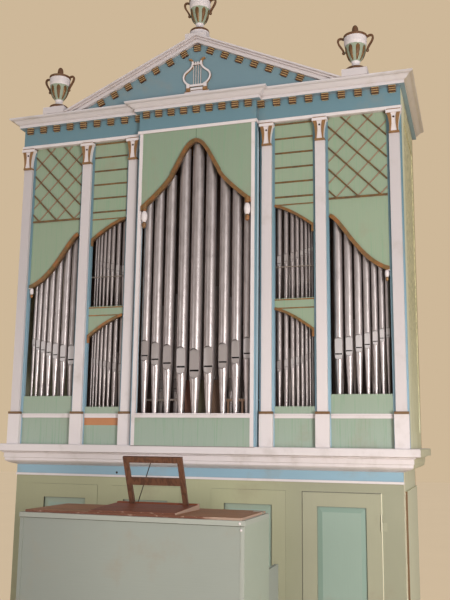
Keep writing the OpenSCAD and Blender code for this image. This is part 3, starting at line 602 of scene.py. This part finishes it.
def nearest(f, places):
    """Distance across the front to the nearest of some places on either side."""
    away = [abs(abs(f.x) - place) for place in places]
    found = away[0]
    for other in away[1:]:
        found = f.math("MINIMUM", found, other)
    return found


def carved_capital(f, colour):
    away = nearest(f, pilaster_places)
    leaves = (f.y < leaf_front) * (f.z < abacus_low) * (away > leaf_inner)
    gilded = leaves + (f.z < ring_top) + (f.z > abacus_top)
    coat = f.mix(gilded > 0.5, colour, f.mix(f.noise(40.0, 3.0), BRONZE, LEAF_GILT))
    bud = (away < bud_half) * f.z.within(bud_height - bud_half, bud_height + bud_half) * (f.y < bud_front)
    return f.mix(bud, coat, BUD_BROWN)


wear(brush_paint("capital_paint", WHITE, tone=0.04, chips=0.02, zones=carved_capital), "capitals")
print("capitals from", round(capital_low.z, 3), "to", round(capital_high.z, 3))

# %% [markdown]
# The ribbons that follow the arches are mottled in red-brown and olive where the bronze has worn. Each
# pendant has a white oval between its two knots, given by its place across, its two heights and half its
# width.

# %% Ribbons and pendants
WORN_RED = paint(176, 106, 52)
WORN_OLIVE = paint(104, 92, 56)
centre_pendant = (0.4155, 3.268, 3.354, 0.034)
outer_pendant = (1.422, 2.7552, 2.8056, 0.022)


def white_ovals(f, coat, shine):
    ovals = 0.0
    for place, low, high, half in (centre_pendant, outer_pendant):
        ovals = (abs(abs(f.x) - place) < half) * f.z.within(low, high) + ovals
    coat = f.mix(f.noise(13.0, 3.0).smooth(0.48, 0.62) * 0.5, coat, WORN_RED)
    coat = f.mix(f.noise(19.0, 3.0).smooth(0.52, 0.64) * 0.5, coat, WORN_OLIVE)
    return f.mix(ovals, coat, WHITE), shine * (1 - ovals)


wear(bronze_paint("ribbon_bronze", zones=white_ovals), "arch_trims")
print("two kinds of pendant")

# %% Lyre
LYRE_BROWN = paint(112, 74, 48)
LYRE_GILT = paint(178, 132, 78)
lyre_low, lyre_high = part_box("lyre")
arms_foot = lyre_low.z + 0.055
scroll_foot = lyre_high.z - 0.030
block_places = (0.050, 0.100)
block_heights = (lyre_low.z + 0.050, lyre_low.z + 0.082)


def outlined(f, colour):
    edge = (abs(f.facing_y) < 0.7) * (f.z > arms_foot)
    block = abs(f.x).within(*block_places) * f.z.within(*block_heights)
    bronze = f.mix(f.noise(40.0, 2.0), LYRE_BROWN, LYRE_GILT)
    return f.mix(edge + (f.z > scroll_foot) + block > 0.5, colour, bronze)


wear(brush_paint("lyre_paint", WHITE, tone=0.04, zones=outlined), "lyre")
print("lyre", round(lyre_high.z - lyre_low.z, 3), "m tall")

# %% [markdown]
# On the urns the heights count from the foot. The handles are what stands out past the cup's own outline.

# %% Urns
CUP_GREEN = paint(150, 160, 138)
URN_GILT = paint(122, 84, 52)
urn_low, urn_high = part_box("urns")
urn_height = 0.383
side_urn_x = 1.235
side_urn_from = 0.6
urn_y = -0.015
centre_urn_low = urn_high.z - urn_height
cup_low, cup_high = 0.086, 0.209
foot_ring, rim, knob_low = (0.008, 0.032), (0.274, 0.296), 0.317
handle_heights, handle_top = (0.13, 0.212), 0.2
neck_radius, cup_radius, rim_radius = 0.035, 0.078, 0.088


def turned_urn(f, colour):
    side = abs(f.x) > side_urn_from
    up = f.z - (urn_low.z * side + centre_urn_low * (1 - side))
    across = abs(f.x) - side_urn_x * side
    spot = f.node("CombineXYZ", sockets={0: across, 1: f.y - urn_y})
    out = f.vector("LENGTH", spot, output="Value")
    bronze = f.mix(f.noise(30.0, 3.0), DARK_BROWN, URN_GILT)
    coat = f.mix(up.within(cup_low, cup_high), colour, CUP_GREEN)
    flare = neck_radius + (cup_radius - neck_radius) * (up - cup_low).smooth(-0.03, 0.10) + 0.006
    handle = (out > flare) * up.within(*handle_heights) + (out > rim_radius + margin) * (up > handle_top)
    gilded = up.within(*foot_ring) + up.within(*rim) + (up > knob_low) + handle
    return f.mix(gilded > 0.5, coat, bronze)


wear(brush_paint("urn_paint", WHITE, chips=0.02, zones=turned_urn), "urns")
print("side urns stand at", round(urn_low.z, 3), "m")

# %% [markdown]
# ## Tin pipes
# Front pipes are planished tin with some lead in it, two centuries old. The oxide on it scatters light, so
# the metal is only partly metallic: a grey body with a soft bright line along it. The lips at the mouth are
# pressed flat, and a face that looks straight to the front is a lip, since a round body has such a place
# only as a thin line. The ledge over a lip looks down and is painted dark as shade, and painted shade lies
# in the corner under it too. Through the mouth one sees the bore, which faces forward too but lies behind
# the pipe's own axis, and it is painted dark as the shade inside the pipe.

# %% Pipe metal
TIN = paint(198, 188, 186)
OXIDE = paint(146, 135, 132)
LIP_GREY = paint(160, 150, 147)
LIP_PALE = paint(206, 199, 199)
PIPE_SHADE = paint(52, 44, 42)
straight_front = -0.9992
behind_axis = 0.002


def pipe_metal(name, tin, dull, plate, rank=None, shine=0.74):
    """Old tin. dull is how far oxide covers it, plate the colour of the lips and rank a node with bores."""
    f = Finish(name)
    clouds = f.noise(9.0, 4.0, f.stretched(3.0, 3.0, 1.0), rough=0.65)
    scratches = f.noise(1.0, 2.0, f.stretched(420.0, 420.0, 5.0))
    lip = f.facing_y < straight_front
    coat = f.mix(clouds.smooth(0.35, 0.75) * dull, tin, OXIDE)
    by_pipe = f.noise(1.0, 0.0, f.stretched(9.0, 0.0, 0.6)).smooth(0.42, 0.58) * 0.5
    coat = f.mix(lip * 0.85, coat, f.mix(by_pipe, plate, LIP_PALE))
    # Painted shade: the top of each lip, under its ledge, darkens where an Ambient Occlusion node finds the
    # corner.
    coat = f.mix(lip * (1 - f.openness().smooth(0.45, 0.85)) * 0.8, coat, PIPE_SHADE)
    # Painted shade: faces that look down, and the bore seen through the mouth, are dark and not metal.
    dark = f.facing_z < -0.3
    if rank:
        low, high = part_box(rank)
        bore = (f.y > (low.y + high.y) / 2 + behind_axis) * (f.facing_y < 0)
        dark = (dark + bore) > 0.5
    coat = f.mix(dark, coat, PIPE_SHADE)
    coat = f.times(coat, 0.94 + scratches * 0.12)
    rough = 0.27 + clouds * 0.12 + scratches * 0.06 + lip * 0.2 + dark * 0.3
    metal = (1 - lip * 0.6) * (1 - dark) * shine
    return f.finish(coat, rough, metal=metal, height=clouds * 0.6 + scratches * 0.1, depth=0.0004)


wear(pipe_metal("front_tin", TIN, 0.6, LIP_GREY, "centre_pipes"), "centre_pipes")
# Painted reflection: the lips of the outer bays are paler, for the light their flat plates catch.
wear(pipe_metal("outer_tin", TIN, 0.5, LIP_PALE, "outer_pipes"), "outer_pipes")
wear(pipe_metal("inner_tin", paint(174, 163, 160), 0.7, LIP_GREY, shine=0.6), "inner_pipes")
old_tin = pipe_metal("old_tin", paint(186, 174, 170), 0.8, OXIDE, shine=0.3)
wear(old_tin, "back_pipes")
print("tin on 4 ranks")

# %% [markdown]
# ## Bare timber and stained timber
# The back, the roof and the deck were never painted. Pine has pale early wood and orange late wood in long
# lines. Noise that is stretched along the board gives the lines, and folding it after a multiplication
# makes rings of it. On the back each board has a number, which gives it a tone and lines of its own.

# %% Timber
def timber(name, pale, dark, grain="z", rings=9.0, rough=0.6, board=None, zones=None):
    """Wood with growth rings along an axis. board is the width of the boards across x, where joints show."""
    f = Finish(name)
    place = f.grained(grain, along=0.5, across=16.0)
    if board:
        number = f.math("FLOOR", f.x / board)
        shift = f.node("CombineXYZ", sockets={0: number * 7.3, 1: number * 3.1, 2: number * 5.7})
        place = f.vector("ADD", place, shift)
    flow = f.noise(1.0, 3.0, place)
    ring = f.math("PINGPONG", flow * rings, 0.5) * 2
    pores = f.noise(1.0, 2.0, f.grained(grain, along=9.0, across=380.0))
    clouds = f.noise(2.3, 3.0)
    coat = f.mix(ring.smooth(0.3, 1.0) * 0.6, pale, dark)
    coat = zones(f, coat) if zones else coat
    coat = f.times(coat, 0.80 + clouds * 0.24 + pores * 0.16)
    height = pores + ring * 0.4
    if board:
        own_tone = f.node("TexWhiteNoise", {"noise_dimensions": "1D"}, {"W": number})
        coat = f.times(coat, 0.88 + own_tone * 0.2)
        joint = 0.5 - abs(f.math("FRACT", f.x / board) - 0.5) < 0.012
        coat = f.mix(joint, coat, DARK_BROWN)
        height = height * (1 - joint)
    return f.finish(coat, rough + pores * 0.1, height=height, depth=0.0008)


PINE = paint(190, 146, 98)
PINE_DARK = paint(146, 98, 58)
INSIDE_DUST = paint(134, 114, 108)
board_width = 0.21


def dusty_inside(f, colour):
    return f.mix(f.facing_y < -0.5, colour, INSIDE_DUST)


wear(timber("back_boards", PINE, PINE_DARK, board=board_width, zones=dusty_inside), "back_wall")
wear(timber("inner_pine", PINE, PINE_DARK, "x"), "case_roof", "case_deck")
wear(timber("pedal_oak", paint(170, 130, 88), paint(126, 86, 54), "y"), "pedalboard")
print("bare timber on 4 nodes")

# %% [markdown]
# Inside, dust has turned the wood almost black. The racks that hold the pipes are grey, pale low down and
# dark above. A tall board stands behind the middle bay, and from left to right it is red-brown, then olive,
# then brown.

# %% Chests and racks
CHEST_DARK = paint(112, 84, 70)
CHEST_DEEP = paint(84, 62, 54)
RACK_GREY = paint(210, 194, 182)
UPPER_RACK = paint(126, 112, 104)
BOARD_RED = paint(118, 78, 64)
BOARD_OLIVE = paint(94, 88, 68)
BOARD_BROWN = paint(108, 82, 66)
low_rack, high_rack = (1.900, 1.914), (2.870, 2.880)
low_rack_front = 0.1
high_rack_from = 2.5
tall_board_x, tall_board_y = (-0.096, 0.196), (0.073, 0.087)
olive_from, brown_from = (-0.01, 0.02), (0.09, 0.11)


def chest_parts(f, colour):
    rack = f.z.within(*low_rack) * (f.y > low_rack_front) + f.z.within(*high_rack)
    board = f.x.within(*tall_board_x) * f.y.within(*tall_board_y)
    board_colour = f.mix(f.x.smooth(*olive_from), BOARD_RED, BOARD_OLIVE)
    board_colour = f.mix(f.x.smooth(*brown_from), board_colour, BOARD_BROWN)
    rack_colour = f.mix(f.z > high_rack_from, RACK_GREY, UPPER_RACK)
    return f.mix(rack, f.mix(board, colour, board_colour), rack_colour)


wear(timber("chest_wood", CHEST_DARK, CHEST_DEEP, "x", zones=chest_parts), "windchests")

# %% [markdown]
# The console's lid and music stand are stained red-brown, with the polish worn off along the boards. The
# edges of the lid and of the stand's base are dark in front with a few pale flecks, and at their right ends
# the stain is rubbed off.

# %% Stained wood
STAINED = paint(158, 102, 58)
STAINED_DARK = paint(102, 62, 36)
BASE_RED = paint(134, 66, 36)
BASE_DARK = paint(90, 44, 25)
LID_EDGE = paint(112, 66, 46)
RUBBED = paint(188, 158, 138)
rubbed_from = (0.42, 0.56)


def rubbed_edges(f, colour):
    edge = abs(f.facing_z) < 0.5
    flecks = f.noise(110.0, 4.0, f.stretched(0.3, 1.0, 1.0), rough=0.6).smooth(0.58, 0.64) * 0.6
    rubbed = (f.x.smooth(*rubbed_from) + (f.facing_x > 0.5)).smooth(0.0, 1.0) * 0.8
    shown = flecks + rubbed * (1 - flecks)
    return f.mix(edge, colour, f.mix(shown, LID_EDGE, RUBBED))


wear(timber("lid_stain", STAINED, STAINED_DARK, "x", 7.0, 0.5, zones=rubbed_edges), "console_lid")
wear(timber("base_stain", BASE_RED, BASE_DARK, "x", 7.0, 0.5, zones=rubbed_edges), "music_stand_base")
wear(timber("stand_stain", paint(110, 74, 54), paint(68, 44, 34), rings=6.0, rough=0.45), "music_stand")
print("stained wood on 3 nodes")

# %% [markdown]
# ## Keys and the prop
# The naturals are bone, yellowed in clouds and veined along the key. The rod that props the stand is dull
# iron with a little rust.

# %% Bone and iron
BONE = paint(228, 220, 196)
YELLOWED = paint(206, 190, 152)
RUST = paint(104, 66, 44)


def bone_keys():
    f = Finish("key_bone")
    clouds = f.noise(14.0, 3.0)
    veins = f.noise(1.0, 2.0, f.stretched(300.0, 18.0, 300.0))
    coat = f.times(f.mix(clouds, BONE, YELLOWED), 0.95 + veins * 0.08)
    return f.finish(coat, 0.28 + clouds * 0.14, height=veins, depth=0.0002)


def dull_iron(name, colour):
    f = Finish(name)
    rust = f.noise(60.0, 5.0, rough=0.7).smooth(0.50, 0.68)
    coat = f.mix(rust * 0.7, colour, RUST)
    return f.finish(coat, 0.45 + rust * 0.3, metal=0.9 - rust * 0.7, height=rust, depth=0.0003)


wear(bone_keys(), "console_manuals")
wear(dull_iron("prop_iron", paint(96, 88, 80)), "music_stand_prop")
dressed = [name for name, node in nodes.items() if node.data.materials and node.data.materials[0].use_nodes]
print("nodes without a finish:", sorted(set(nodes) - set(dressed)))

# %% [markdown]
# ## A helper for meshes
# The remaining pieces are small and many: leaves on the urns, black keys, buttons. Each kind is one joined
# mesh, so that it is one piece with one finish. The helper takes vertices and faces, shades them smooth or
# flat, and lets the piece ride on a body of the frame. One more makes a piece of blocks from their corners.

# %% Build a piece
def put(name, data):
    """Puts a mesh, a lamp or a camera into the scene."""
    obj = bpy.data.objects.new(name, data)
    bpy.context.scene.collection.objects.link(obj)
    return obj


def piece(name, vertices, faces, finish, body="organ", smooth=False):
    mesh = bpy.data.meshes.new(name)
    mesh.from_pydata(vertices, [], faces)
    mesh.validate()
    mesh.polygons.foreach_set("use_smooth", [smooth] * len(mesh.polygons))
    mesh.materials.append(finish)
    obj = put(name, mesh)
    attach(obj, body)
    print(name, "has", len(mesh.polygons), "faces")


def add_bands(faces, first, rings, turns):
    """The faces between rings of vertices that follow each other, each ring closed."""
    for ring in range(rings - 1):
        for i in range(turns):
            a, b = first + ring * turns + i, first + ring * turns + (i + 1) % turns
            faces.append([a, b, b + turns, a + turns])


def corners(low, high, height, inset=0.0):
    x0, y0, x1, y1 = low[0] + inset, low[1] + inset, high[0] - inset, high[1] - inset
    return [(x0, y0, height), (x1, y0, height), (x1, y1, height), (x0, y1, height)]


def blocks(name, boxes, finish):
    """One piece of blocks: low corner, high corner, and how much smaller the top is on each side."""
    vertices, faces = [], []
    for low, high, inset in boxes:
        first = len(vertices)
        vertices += corners(low, high, low[2])
        vertices += corners(low, high, high[2] - inset)
        vertices += corners(low, high, high[2], inset)
        faces.append([first + i for i in (3, 2, 1, 0)])
        add_bands(faces, first, rings=3, turns=4)
        faces.append([first + 8 + i for i in range(4)])
    piece(name, vertices, faces, finish)


print("mesh helpers ready")

# %% [markdown]
# ## Leaves on the urns
# Each cup is green with eight long bronze leaves that stand up from the neck. They could be painted on, but
# they are carved, so each one is a small curved shell that follows the cup and swells in the middle. A leaf
# is a grid of rows and columns, wide at its round top and narrow at its foot. The side urns show a leaf in
# front, and the middle urn is turned so that two leaves flank its front.

# %% Urn leaves
LEAVES = 8
leaf_low, leaf_high = 0.092, 0.204
leaf_rows, leaf_columns = 12, 6
leaf_half = math.radians(15)
leaf_swell = 0.0045
cup_outline = [(0.088, 0.035), (0.118, 0.0575), (0.160, 0.0725), (0.208, 0.078)]
urn_places = ((-side_urn_x, urn_low.z, 0.5), (side_urn_x, urn_low.z, 0.5), (0.0, centre_urn_low, 0.0))


def cup_at(height):
    """Radius of the cup at a height over the urn's foot, by straight steps between its outline's points."""
    for (z0, r0), (z1, r1) in zip(cup_outline, cup_outline[1:]):
        if height <= z1:
            return r0 + (r1 - r0) * (height - z0) / (z1 - z0)
    return cup_outline[-1][1]


def add_leaf(vertices, faces, axis, base, turn):
    first = len(vertices)
    for row in range(leaf_rows + 1):
        share = row / leaf_rows
        height = leaf_low + (leaf_high - leaf_low) * share
        half = leaf_half * (0.55 + 0.45 * share) * math.sqrt(max(0.0, 1 - share ** 7))
        for column in range(leaf_columns + 1):
            side = 2 * column / leaf_columns - 1
            swell = leaf_swell * (1 - side * side) * math.sin(math.pi * min(1.0, 0.12 + share * 0.8))
            radius = cup_at(height) + swell - margin
            angle = turn + side * half
            x, y = axis.x + radius * math.sin(angle), axis.y - radius * math.cos(angle)
            vertices.append((x, y, base + height))
    across = leaf_columns + 1
    for row in range(leaf_rows):
        for column in range(leaf_columns):
            a = first + row * across + column
            faces.append([a, a + 1, a + across + 1, a + across])


def grooved(f, coat, shine):
    groove = f.noise(1.0, 2.0, f.stretched(240.0, 240.0, 20.0)).smooth(0.4, 0.7)
    return f.mix(groove * 0.6, coat, DARK_BROWN), shine


leaf_vertices, leaf_faces = [], []
for place, base, first_turn in urn_places:
    for i in range(LEAVES):
        turn = (i + first_turn) * 2 * math.pi / LEAVES
        add_leaf(leaf_vertices, leaf_faces, Vector((place, urn_y, 0)), base, turn)
leaf_finish = bronze_paint("leaf_bronze", paint(112, 78, 44), grooved)
piece("urn_leaves", leaf_vertices, leaf_faces, leaf_finish, smooth=True)

# %% [markdown]
# ## Black keys
# The CAD has the naturals with a slit between each pair. The sharps stand on the slits in the order every
# keyboard has, twos and threes from C. Each is a block of black stained pear wood with its top edges taken
# off, sunk a little into what carries it.

# %% Sharps of the manuals
NATURALS = 32
SHARP_AFTER = (0, 1, 3, 4, 5)
PEAR_BLACK = paint(34, 30, 28)
PEAR_WORN = paint(58, 50, 46)
key_low, key_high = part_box("console_manuals")
key_width = (key_high.x - key_low.x) / NATURALS
lower_keys = (key_high.y, key_low.z + 0.040)
upper_keys = (key_high.y - 0.160, key_high.z)
sharp_half = 0.0055
sharp_rise = 0.010
sharp_near, sharp_far = 0.046, 0.098
sink = 0.001


def black_wood():
    f = Finish("black_wood")
    pores = f.noise(1.0, 3.0, f.stretched(300.0, 20.0, 300.0))
    coat = f.mix(pores, PEAR_BLACK, PEAR_WORN)
    return f.finish(coat, 0.3 + pores * 0.2, height=pores, depth=0.0002)


black = black_wood()
sharps = []
for front, top in (lower_keys, upper_keys):
    for i in range(NATURALS - 1):
        if i % 7 in SHARP_AFTER:
            x = key_high.x - (i + 1) * key_width
            low = (x - sharp_half, front - sharp_far, top - sink)
            high = (x + sharp_half, front - sharp_near, top + sharp_rise)
            sharps.append((low, high, 0.0015))
blocks("manual_sharps", sharps, black)

# %% [markdown]
# The pedals have the same order of sharps in semitones. Their sharps are raised caps at the far end, under
# the console, where the toe reaches them.

# %% Sharps of the pedals
PEDALS = 27
PEDAL_SHARPS = (1, 3, 6, 8, 10)
pedal_low, pedal_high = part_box("pedalboard")
pedal_step = (pedal_high.x - pedal_low.x) / (PEDALS + 1)
pedal_top = 0.062
cap_half = 0.011
cap_from, cap_to = pedal_low.y + 0.10, pedal_low.y + 0.24
cap_rise = 0.026
caps = []
for i in range(PEDALS):
    if i % 12 in PEDAL_SHARPS:
        x = pedal_high.x - (i + 1) * pedal_step
        low = (x - cap_half, cap_from, pedal_top - sink)
        caps.append((low, (x + cap_half, cap_to, pedal_top + cap_rise), 0.003))
blocks("pedal_caps", caps, black)

# %% [markdown]
# ## Pipes behind the side bays
# Between the front pipes of the side bays one sees the feet of a rear rank, small and dark. Each pipe is an
# outline of radius against height, spun round its axis: a cone up to the mouth, a narrow groove, and a
# straight body, which gets shorter from one pipe to the next.

# %% Rear pipes
def add_turned(vertices, faces, foot, outline, turns=12):
    """Spins (radius, height) pairs round the vertical through foot. The ends stay open, as a pipe's top."""
    first = len(vertices)
    for radius, height in outline:
        for i in range(turns):
            angle = 2 * math.pi * i / turns
            x, y = foot.x + radius * math.cos(angle), foot.y + radius * math.sin(angle)
            vertices.append((x, y, foot.z + height))
    add_bands(faces, first, len(outline), turns)


rear_ranks = (
    {"from": 1.034, "step": 0.0435, "count": 9, "y": 0.158, "z": 1.921, "radius": 0.0125, "body": 0.62},
    {"from": 0.622, "step": 0.0345, "count": 8, "y": 0.140, "z": 1.839, "radius": 0.0095, "body": 0.48},
    {"from": 0.622, "step": 0.0345, "count": 8, "y": 0.140, "z": 2.621, "radius": 0.0095, "body": 0.40},
)
rear_foot = 0.13
groove_step = 0.003
shorter_by = 0.02
rear_vertices, rear_faces = [], []
for rank in rear_ranks:
    for i in range(rank["count"]):
        r, tall = rank["radius"], rank["body"] - shorter_by * i
        groove = ((0.86 * r, rear_foot + groove_step), (r, rear_foot + 2 * groove_step))
        outline = ((0.3 * r, 0.0), (r, rear_foot), *groove, (r, tall))
        for side in (-1, 1):
            foot = Vector((side * (rank["from"] + i * rank["step"]), rank["y"], rank["z"]))
            add_turned(rear_vertices, rear_faces, foot, outline)
piece("rear_pipes", rear_vertices, rear_faces, old_tin, smooth=True)

# %% [markdown]
# In the middle bay a rail for the rear pipes shows low between the feet, with short pale posts of newer
# wood under it.

# %% Rack posts
rail_low, rail_high = 1.893, 1.909
post_low = 1.800
post_front, post_back = 0.112, 0.124
rail_front = post_front - 0.006
post_half = 0.007
rail_ends = ((0.143, 0.175), (0.213, 0.258), (0.316, 0.360))
post_places = (0.232, 0.3415)
rails = [((x0, rail_front, rail_low), (x1, post_front, rail_high), 0.001) for x0, x1 in rail_ends]
posts = [((x - post_half, post_front, post_low), (x + post_half, post_back, rail_low), 0.0)
         for x in post_places]
newer_wood = timber("newer_wood", paint(228, 184, 154), paint(204, 154, 122))
blocks("rack_posts", rails + posts, newer_wood)

# %% [markdown]
# ## The edge of the door
# A door that shuts against nothing shows a black gap. This one has a batten behind its opening on three
# sides. On the hinge side a slim cream bead fills the joint, fixed to the case so that the door swings
# clear of it. The other two joints have a strip of olive felt a little further in.

# %% Stop of the door
stop_y = (0.1015, 0.1055, 0.1055 + 0.016)
stop_foot = 0.100
lap_out, lap_in = 0.018, 0.014
outer_low, outer_high = hole_low_x - lap_out, hole_high_x + lap_out
inner_low, inner_high = hole_low_x + lap_in, hole_high_x - lap_in
stop_top = hole_top + lap_out
y0, y1, y2 = stop_y
stop_boxes = (
    ((outer_low, y1, stop_foot), (inner_low, y2, stop_top), 0.001),
    ((inner_high, y1, stop_foot), (outer_high, y2, stop_top), 0.001),
    ((inner_low, y1, hole_top - lap_in), (inner_high, y2, stop_top), 0.001),
    ((outer_low, y0, stop_foot), (hole_low_x, y1, stop_top), 0.001),
    ((hole_high_x, y0, stop_foot), (outer_high, y1, stop_top), 0.001),
    ((hole_low_x, y0, hole_top), (hole_high_x, y1, stop_top), 0.001),
)
# The batten is painted pale, as painted light in the shaded gaps round the door.
blocks("door_stop", stop_boxes, brush_paint("stop_paint", PAINTED_LIGHT_EDGE))

# %% Bead and felt of the door
joint_back = 0.0900
bead_front, felt_front = 0.0772, 0.0795
bead_low = (hole_high_x - 0.0048, bead_front, door_low.z)
bead_high = (hole_high_x + 0.0004, joint_back, hole_top - 0.002)
blocks("hinge_bead", [(bead_low, bead_high, 0.0008)], brush_paint("cream_bead", CREAM_EDGE))

side_low = (hole_low_x - 0.0004, felt_front, door_low.z)
side_high = (hole_low_x + 0.0038, joint_back, hole_top)
head_low = (hole_low_x, felt_front, hole_top - 0.0042)
head_high = (hole_high_x - 0.0060, joint_back, hole_top + 0.0004)
felt_boxes = ((side_low, side_high, 0.0004), (head_low, head_high, 0.0004))
blocks("door_felt", felt_boxes, brush_paint("joint_felt", paint(120, 117, 98)))

# %% [markdown]
# ## Small fittings
# Two white buttons sit on the front corner of the console, one over the other, and a pale strap hinge shows
# at the end of the lid. The buttons are turned, so their outline is spun round an axis that points out of
# the board.

# %% Buttons
def add_button(vertices, faces, centre, radius, rise, turns=16, rings=4):
    """A dome that looks to the front, towards -Y."""
    first = len(vertices)
    for ring in range(rings):
        lean = math.pi / 2 * ring / rings
        r, out = radius * math.cos(lean), rise * math.sin(lean)
        for i in range(turns):
            a = 2 * math.pi * i / turns
            vertices.append((centre.x + r * math.cos(a), centre.y - out, centre.z + r * math.sin(a)))
    vertices.append((centre.x, centre.y - rise, centre.z))
    add_bands(faces, first, rings, turns)
    last = first + (rings - 1) * turns
    tip = first + rings * turns
    faces.extend([last + i, last + (i + 1) % turns, tip] for i in range(turns))
    faces.append([first + i for i in reversed(range(turns))])


button_radius, button_rise = 0.0075, 0.006
on_band = Vector((0.690, console_low.y + 0.001, 1.146))
under_band = Vector((0.697, console_low.y + 0.006, 1.110))
button_vertices, button_faces = [], []
for spot in (on_band, under_band):
    add_button(button_vertices, button_faces, spot, button_radius, button_rise)
piece("console_buttons", button_vertices, button_faces, post_white, smooth=True)

# %% Strap of the lid
lid_end, lid_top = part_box("console_lid")[1].x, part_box("console_lid")[1].z
strap_y = -0.640
strap_half, tab_half = 0.016, 0.010
strap_top = lid_top + 0.003
strap_low = (lid_end - 0.055, strap_y - strap_half, lid_top - sink)
strap_high = (lid_end + 0.006, strap_y + strap_half, strap_top)
tab_low = (lid_end, strap_y - tab_half, lid_top - 0.012)
tab_high = (lid_end + 0.008, strap_y + tab_half, strap_top)
strap_boxes = ((strap_low, strap_high, 0.001), (tab_low, tab_high, 0.001))
blocks("lid_strap", strap_boxes, dull_iron("pale_strap", paint(196, 190, 176)))

# %% [markdown]
# ## Floor, background and light
# The floor and the background are one pale sand colour, so that nothing competes with the organ. A floor
# that is lit from low lamps looks darker than the wall, so it glows a little, for the camera's rays alone,
# and still shows the organ's shadow. The glow fades where the floor is hemmed in, which paints a soft
# shadow round and under the organ.

# %% Floor
BACKGROUND = paint(206, 184, 153)
floor_share = 0.45
floor_glow = 0.77
floor_reach = 30.0
floor_corners = [(x * floor_reach, y * floor_reach, 0.0) for x, y in ((-1, -1), (1, -1), (1, 1), (-1, 1))]
floor_mesh = bpy.data.meshes.new("floor")
floor_mesh.from_pydata(floor_corners, [], [(0, 1, 2, 3)])
floor = put("floor", floor_mesh)
floor_finish = Finish("floor_finish")
floor_dust = floor_finish.noise(0.8, 4.0)
floor_colour = floor_finish.times(BACKGROUND, 0.97 + floor_dust * 0.06)
camera_sees = floor_finish.node("LightPath", output="Is Camera Ray")
lit = floor_finish.times(floor_colour, 1 - camera_sees * (1 - floor_share))
# Painted shadow: the glow fades near and under the organ.
floor_open = floor_finish.openness(reach=1.2, samples=16)
glow = floor_finish.times(floor_colour, camera_sees * floor_open * floor_glow)
emission = {"Emission Color": glow, "Emission Strength": 1.0}
floor_mesh.materials.append(floor_finish.finish(lit, 0.85, **emission))
print("floor", 2 * floor_reach, "m wide")

# %% [markdown]
# The world has three parts. The camera sees the background's plain colour. The metal mirrors a plain room,
# dark on the left, with a tall bright window on the right that draws a soft line up each pipe. The light
# that falls on the organ is set apart from both, low enough that a paint renders about as it is written.

# %% World
WINDOW_WHITE = (0.95, 0.93, 0.93, 1.0)
ROOM_DARK = paint(116, 102, 98)
ROOM_LIGHT = paint(182, 172, 168)
AMBIENT = (0.985, 0.99, 1.0, 1.0)
window_way = (0.814, -0.580, 0.0)
world = bpy.data.worlds.new("studio")
bpy.context.scene.world = world
world.use_nodes = True


class Sky(Finish):
    """The same helper on the nodes of a world, where a place is a direction."""

    def __init__(self, tree):
        self.tree = tree
        self.tree.nodes.clear()
        self.place = self.node("TexCoord", output="Generated")
        self.x, self.y, self.z = self.split(self.place)


sky = Sky(world.node_tree)
level = sky.node("CombineXYZ", sockets={0: sky.x, 1: sky.y, 2: 0.0})
toward = sky.vector("DOT_PRODUCT", sky.vector("NORMALIZE", level), window_way, output="Value")
room = sky.mix(toward.smooth(-0.5, 0.85), ROOM_DARK, ROOM_LIGHT)
room = sky.mix(toward.smooth(0.90, 0.99), room, WINDOW_WHITE)
room = sky.times(room, 1 - sky.z.smooth(0.05, 0.45) * 0.45)
ambient = sky.node("Background", sockets={"Color": AMBIENT, "Strength": 0.50})
shown = sky.node("Background", sockets={"Color": BACKGROUND})
mirrored = sky.node("Background", sockets={"Color": room})
rays = sky.node("LightPath").socket.node.outputs
seen_ray = Wire(sky, rays["Is Camera Ray"]) + Wire(sky, rays["Is Transmission Ray"])
light = sky.node("MixShader", sockets={0: seen_ray, 1: ambient, 2: shown})
light = sky.node("MixShader", sockets={0: Wire(sky, rays["Is Glossy Ray"]), 1: light, 2: mirrored})
sky.end("World", light)
print("background, mirrored room and ambient light are set apart")

# %% [markdown]
# The main lamp is a tall soft box to the right of the camera, which draws the long bright line down each
# pipe. A wide weak one on the left opens the shadows. Both look at the middle of the case.

# %% Lamps
case_middle = Vector((0.0, 0.4, 2.4))


def soft_box(name, place, width, height, power, colour):
    lamp = bpy.data.lights.new(name, "AREA")
    lamp.shape = "RECTANGLE"
    lamp.size, lamp.size_y = width, height
    lamp.energy = power
    lamp.color = colour
    obj = put(name, lamp)
    obj.location = place
    obj.rotation_mode = "QUATERNION"
    obj.rotation_quaternion = (case_middle - Vector(place)).to_track_quat("-Z", "Y")


soft_box("window_light", (5.2, -5.7, 1.5), 1.6, 2.6, 375.0, (1.0, 1.0, 1.0))
soft_box("fill_light", (-5.0, -6.5, 2.0), 3.2, 3.2, 90.0, (0.97, 0.985, 1.0))
print("two soft boxes")

# %% [markdown]
# ## The camera
# The photograph was taken from the right of the middle, at the height of the eyes and looking up to the
# left. A camera was fitted to the six pilasters, which gives the place, the turns and the focal length. A
# camera's own axes are right, up and backwards, so those three vectors are the columns of its matrix.

# %% Camera
eye = Vector((1.998, -5.554, 1.600))
turn_left = math.radians(17.62)
look_up = math.radians(10.08)
roll = math.radians(0.68)
focal_pixels = 796.2
picture_height = 600
ahead = math.cos(look_up)
forward = Vector((-math.sin(turn_left) * ahead, math.cos(turn_left) * ahead, math.sin(look_up)))
level_right = Vector((math.cos(turn_left), math.sin(turn_left), 0.0))
level_up = level_right.cross(forward)
right = math.cos(roll) * level_right + math.sin(roll) * level_up
up = math.cos(roll) * level_up - math.sin(roll) * level_right
axes = Matrix((right, up, -forward)).transposed().to_4x4()

camera = bpy.data.cameras.new("camera")
camera.lens = camera.sensor_width * focal_pixels / picture_height
camera_object = put("camera", camera)
camera_object.matrix_world = Matrix.Translation(eye) @ axes
bpy.context.scene.camera = camera_object
bpy.context.scene.view_settings.view_transform = "Standard"
print("lens", round(camera.lens, 1), "mm")
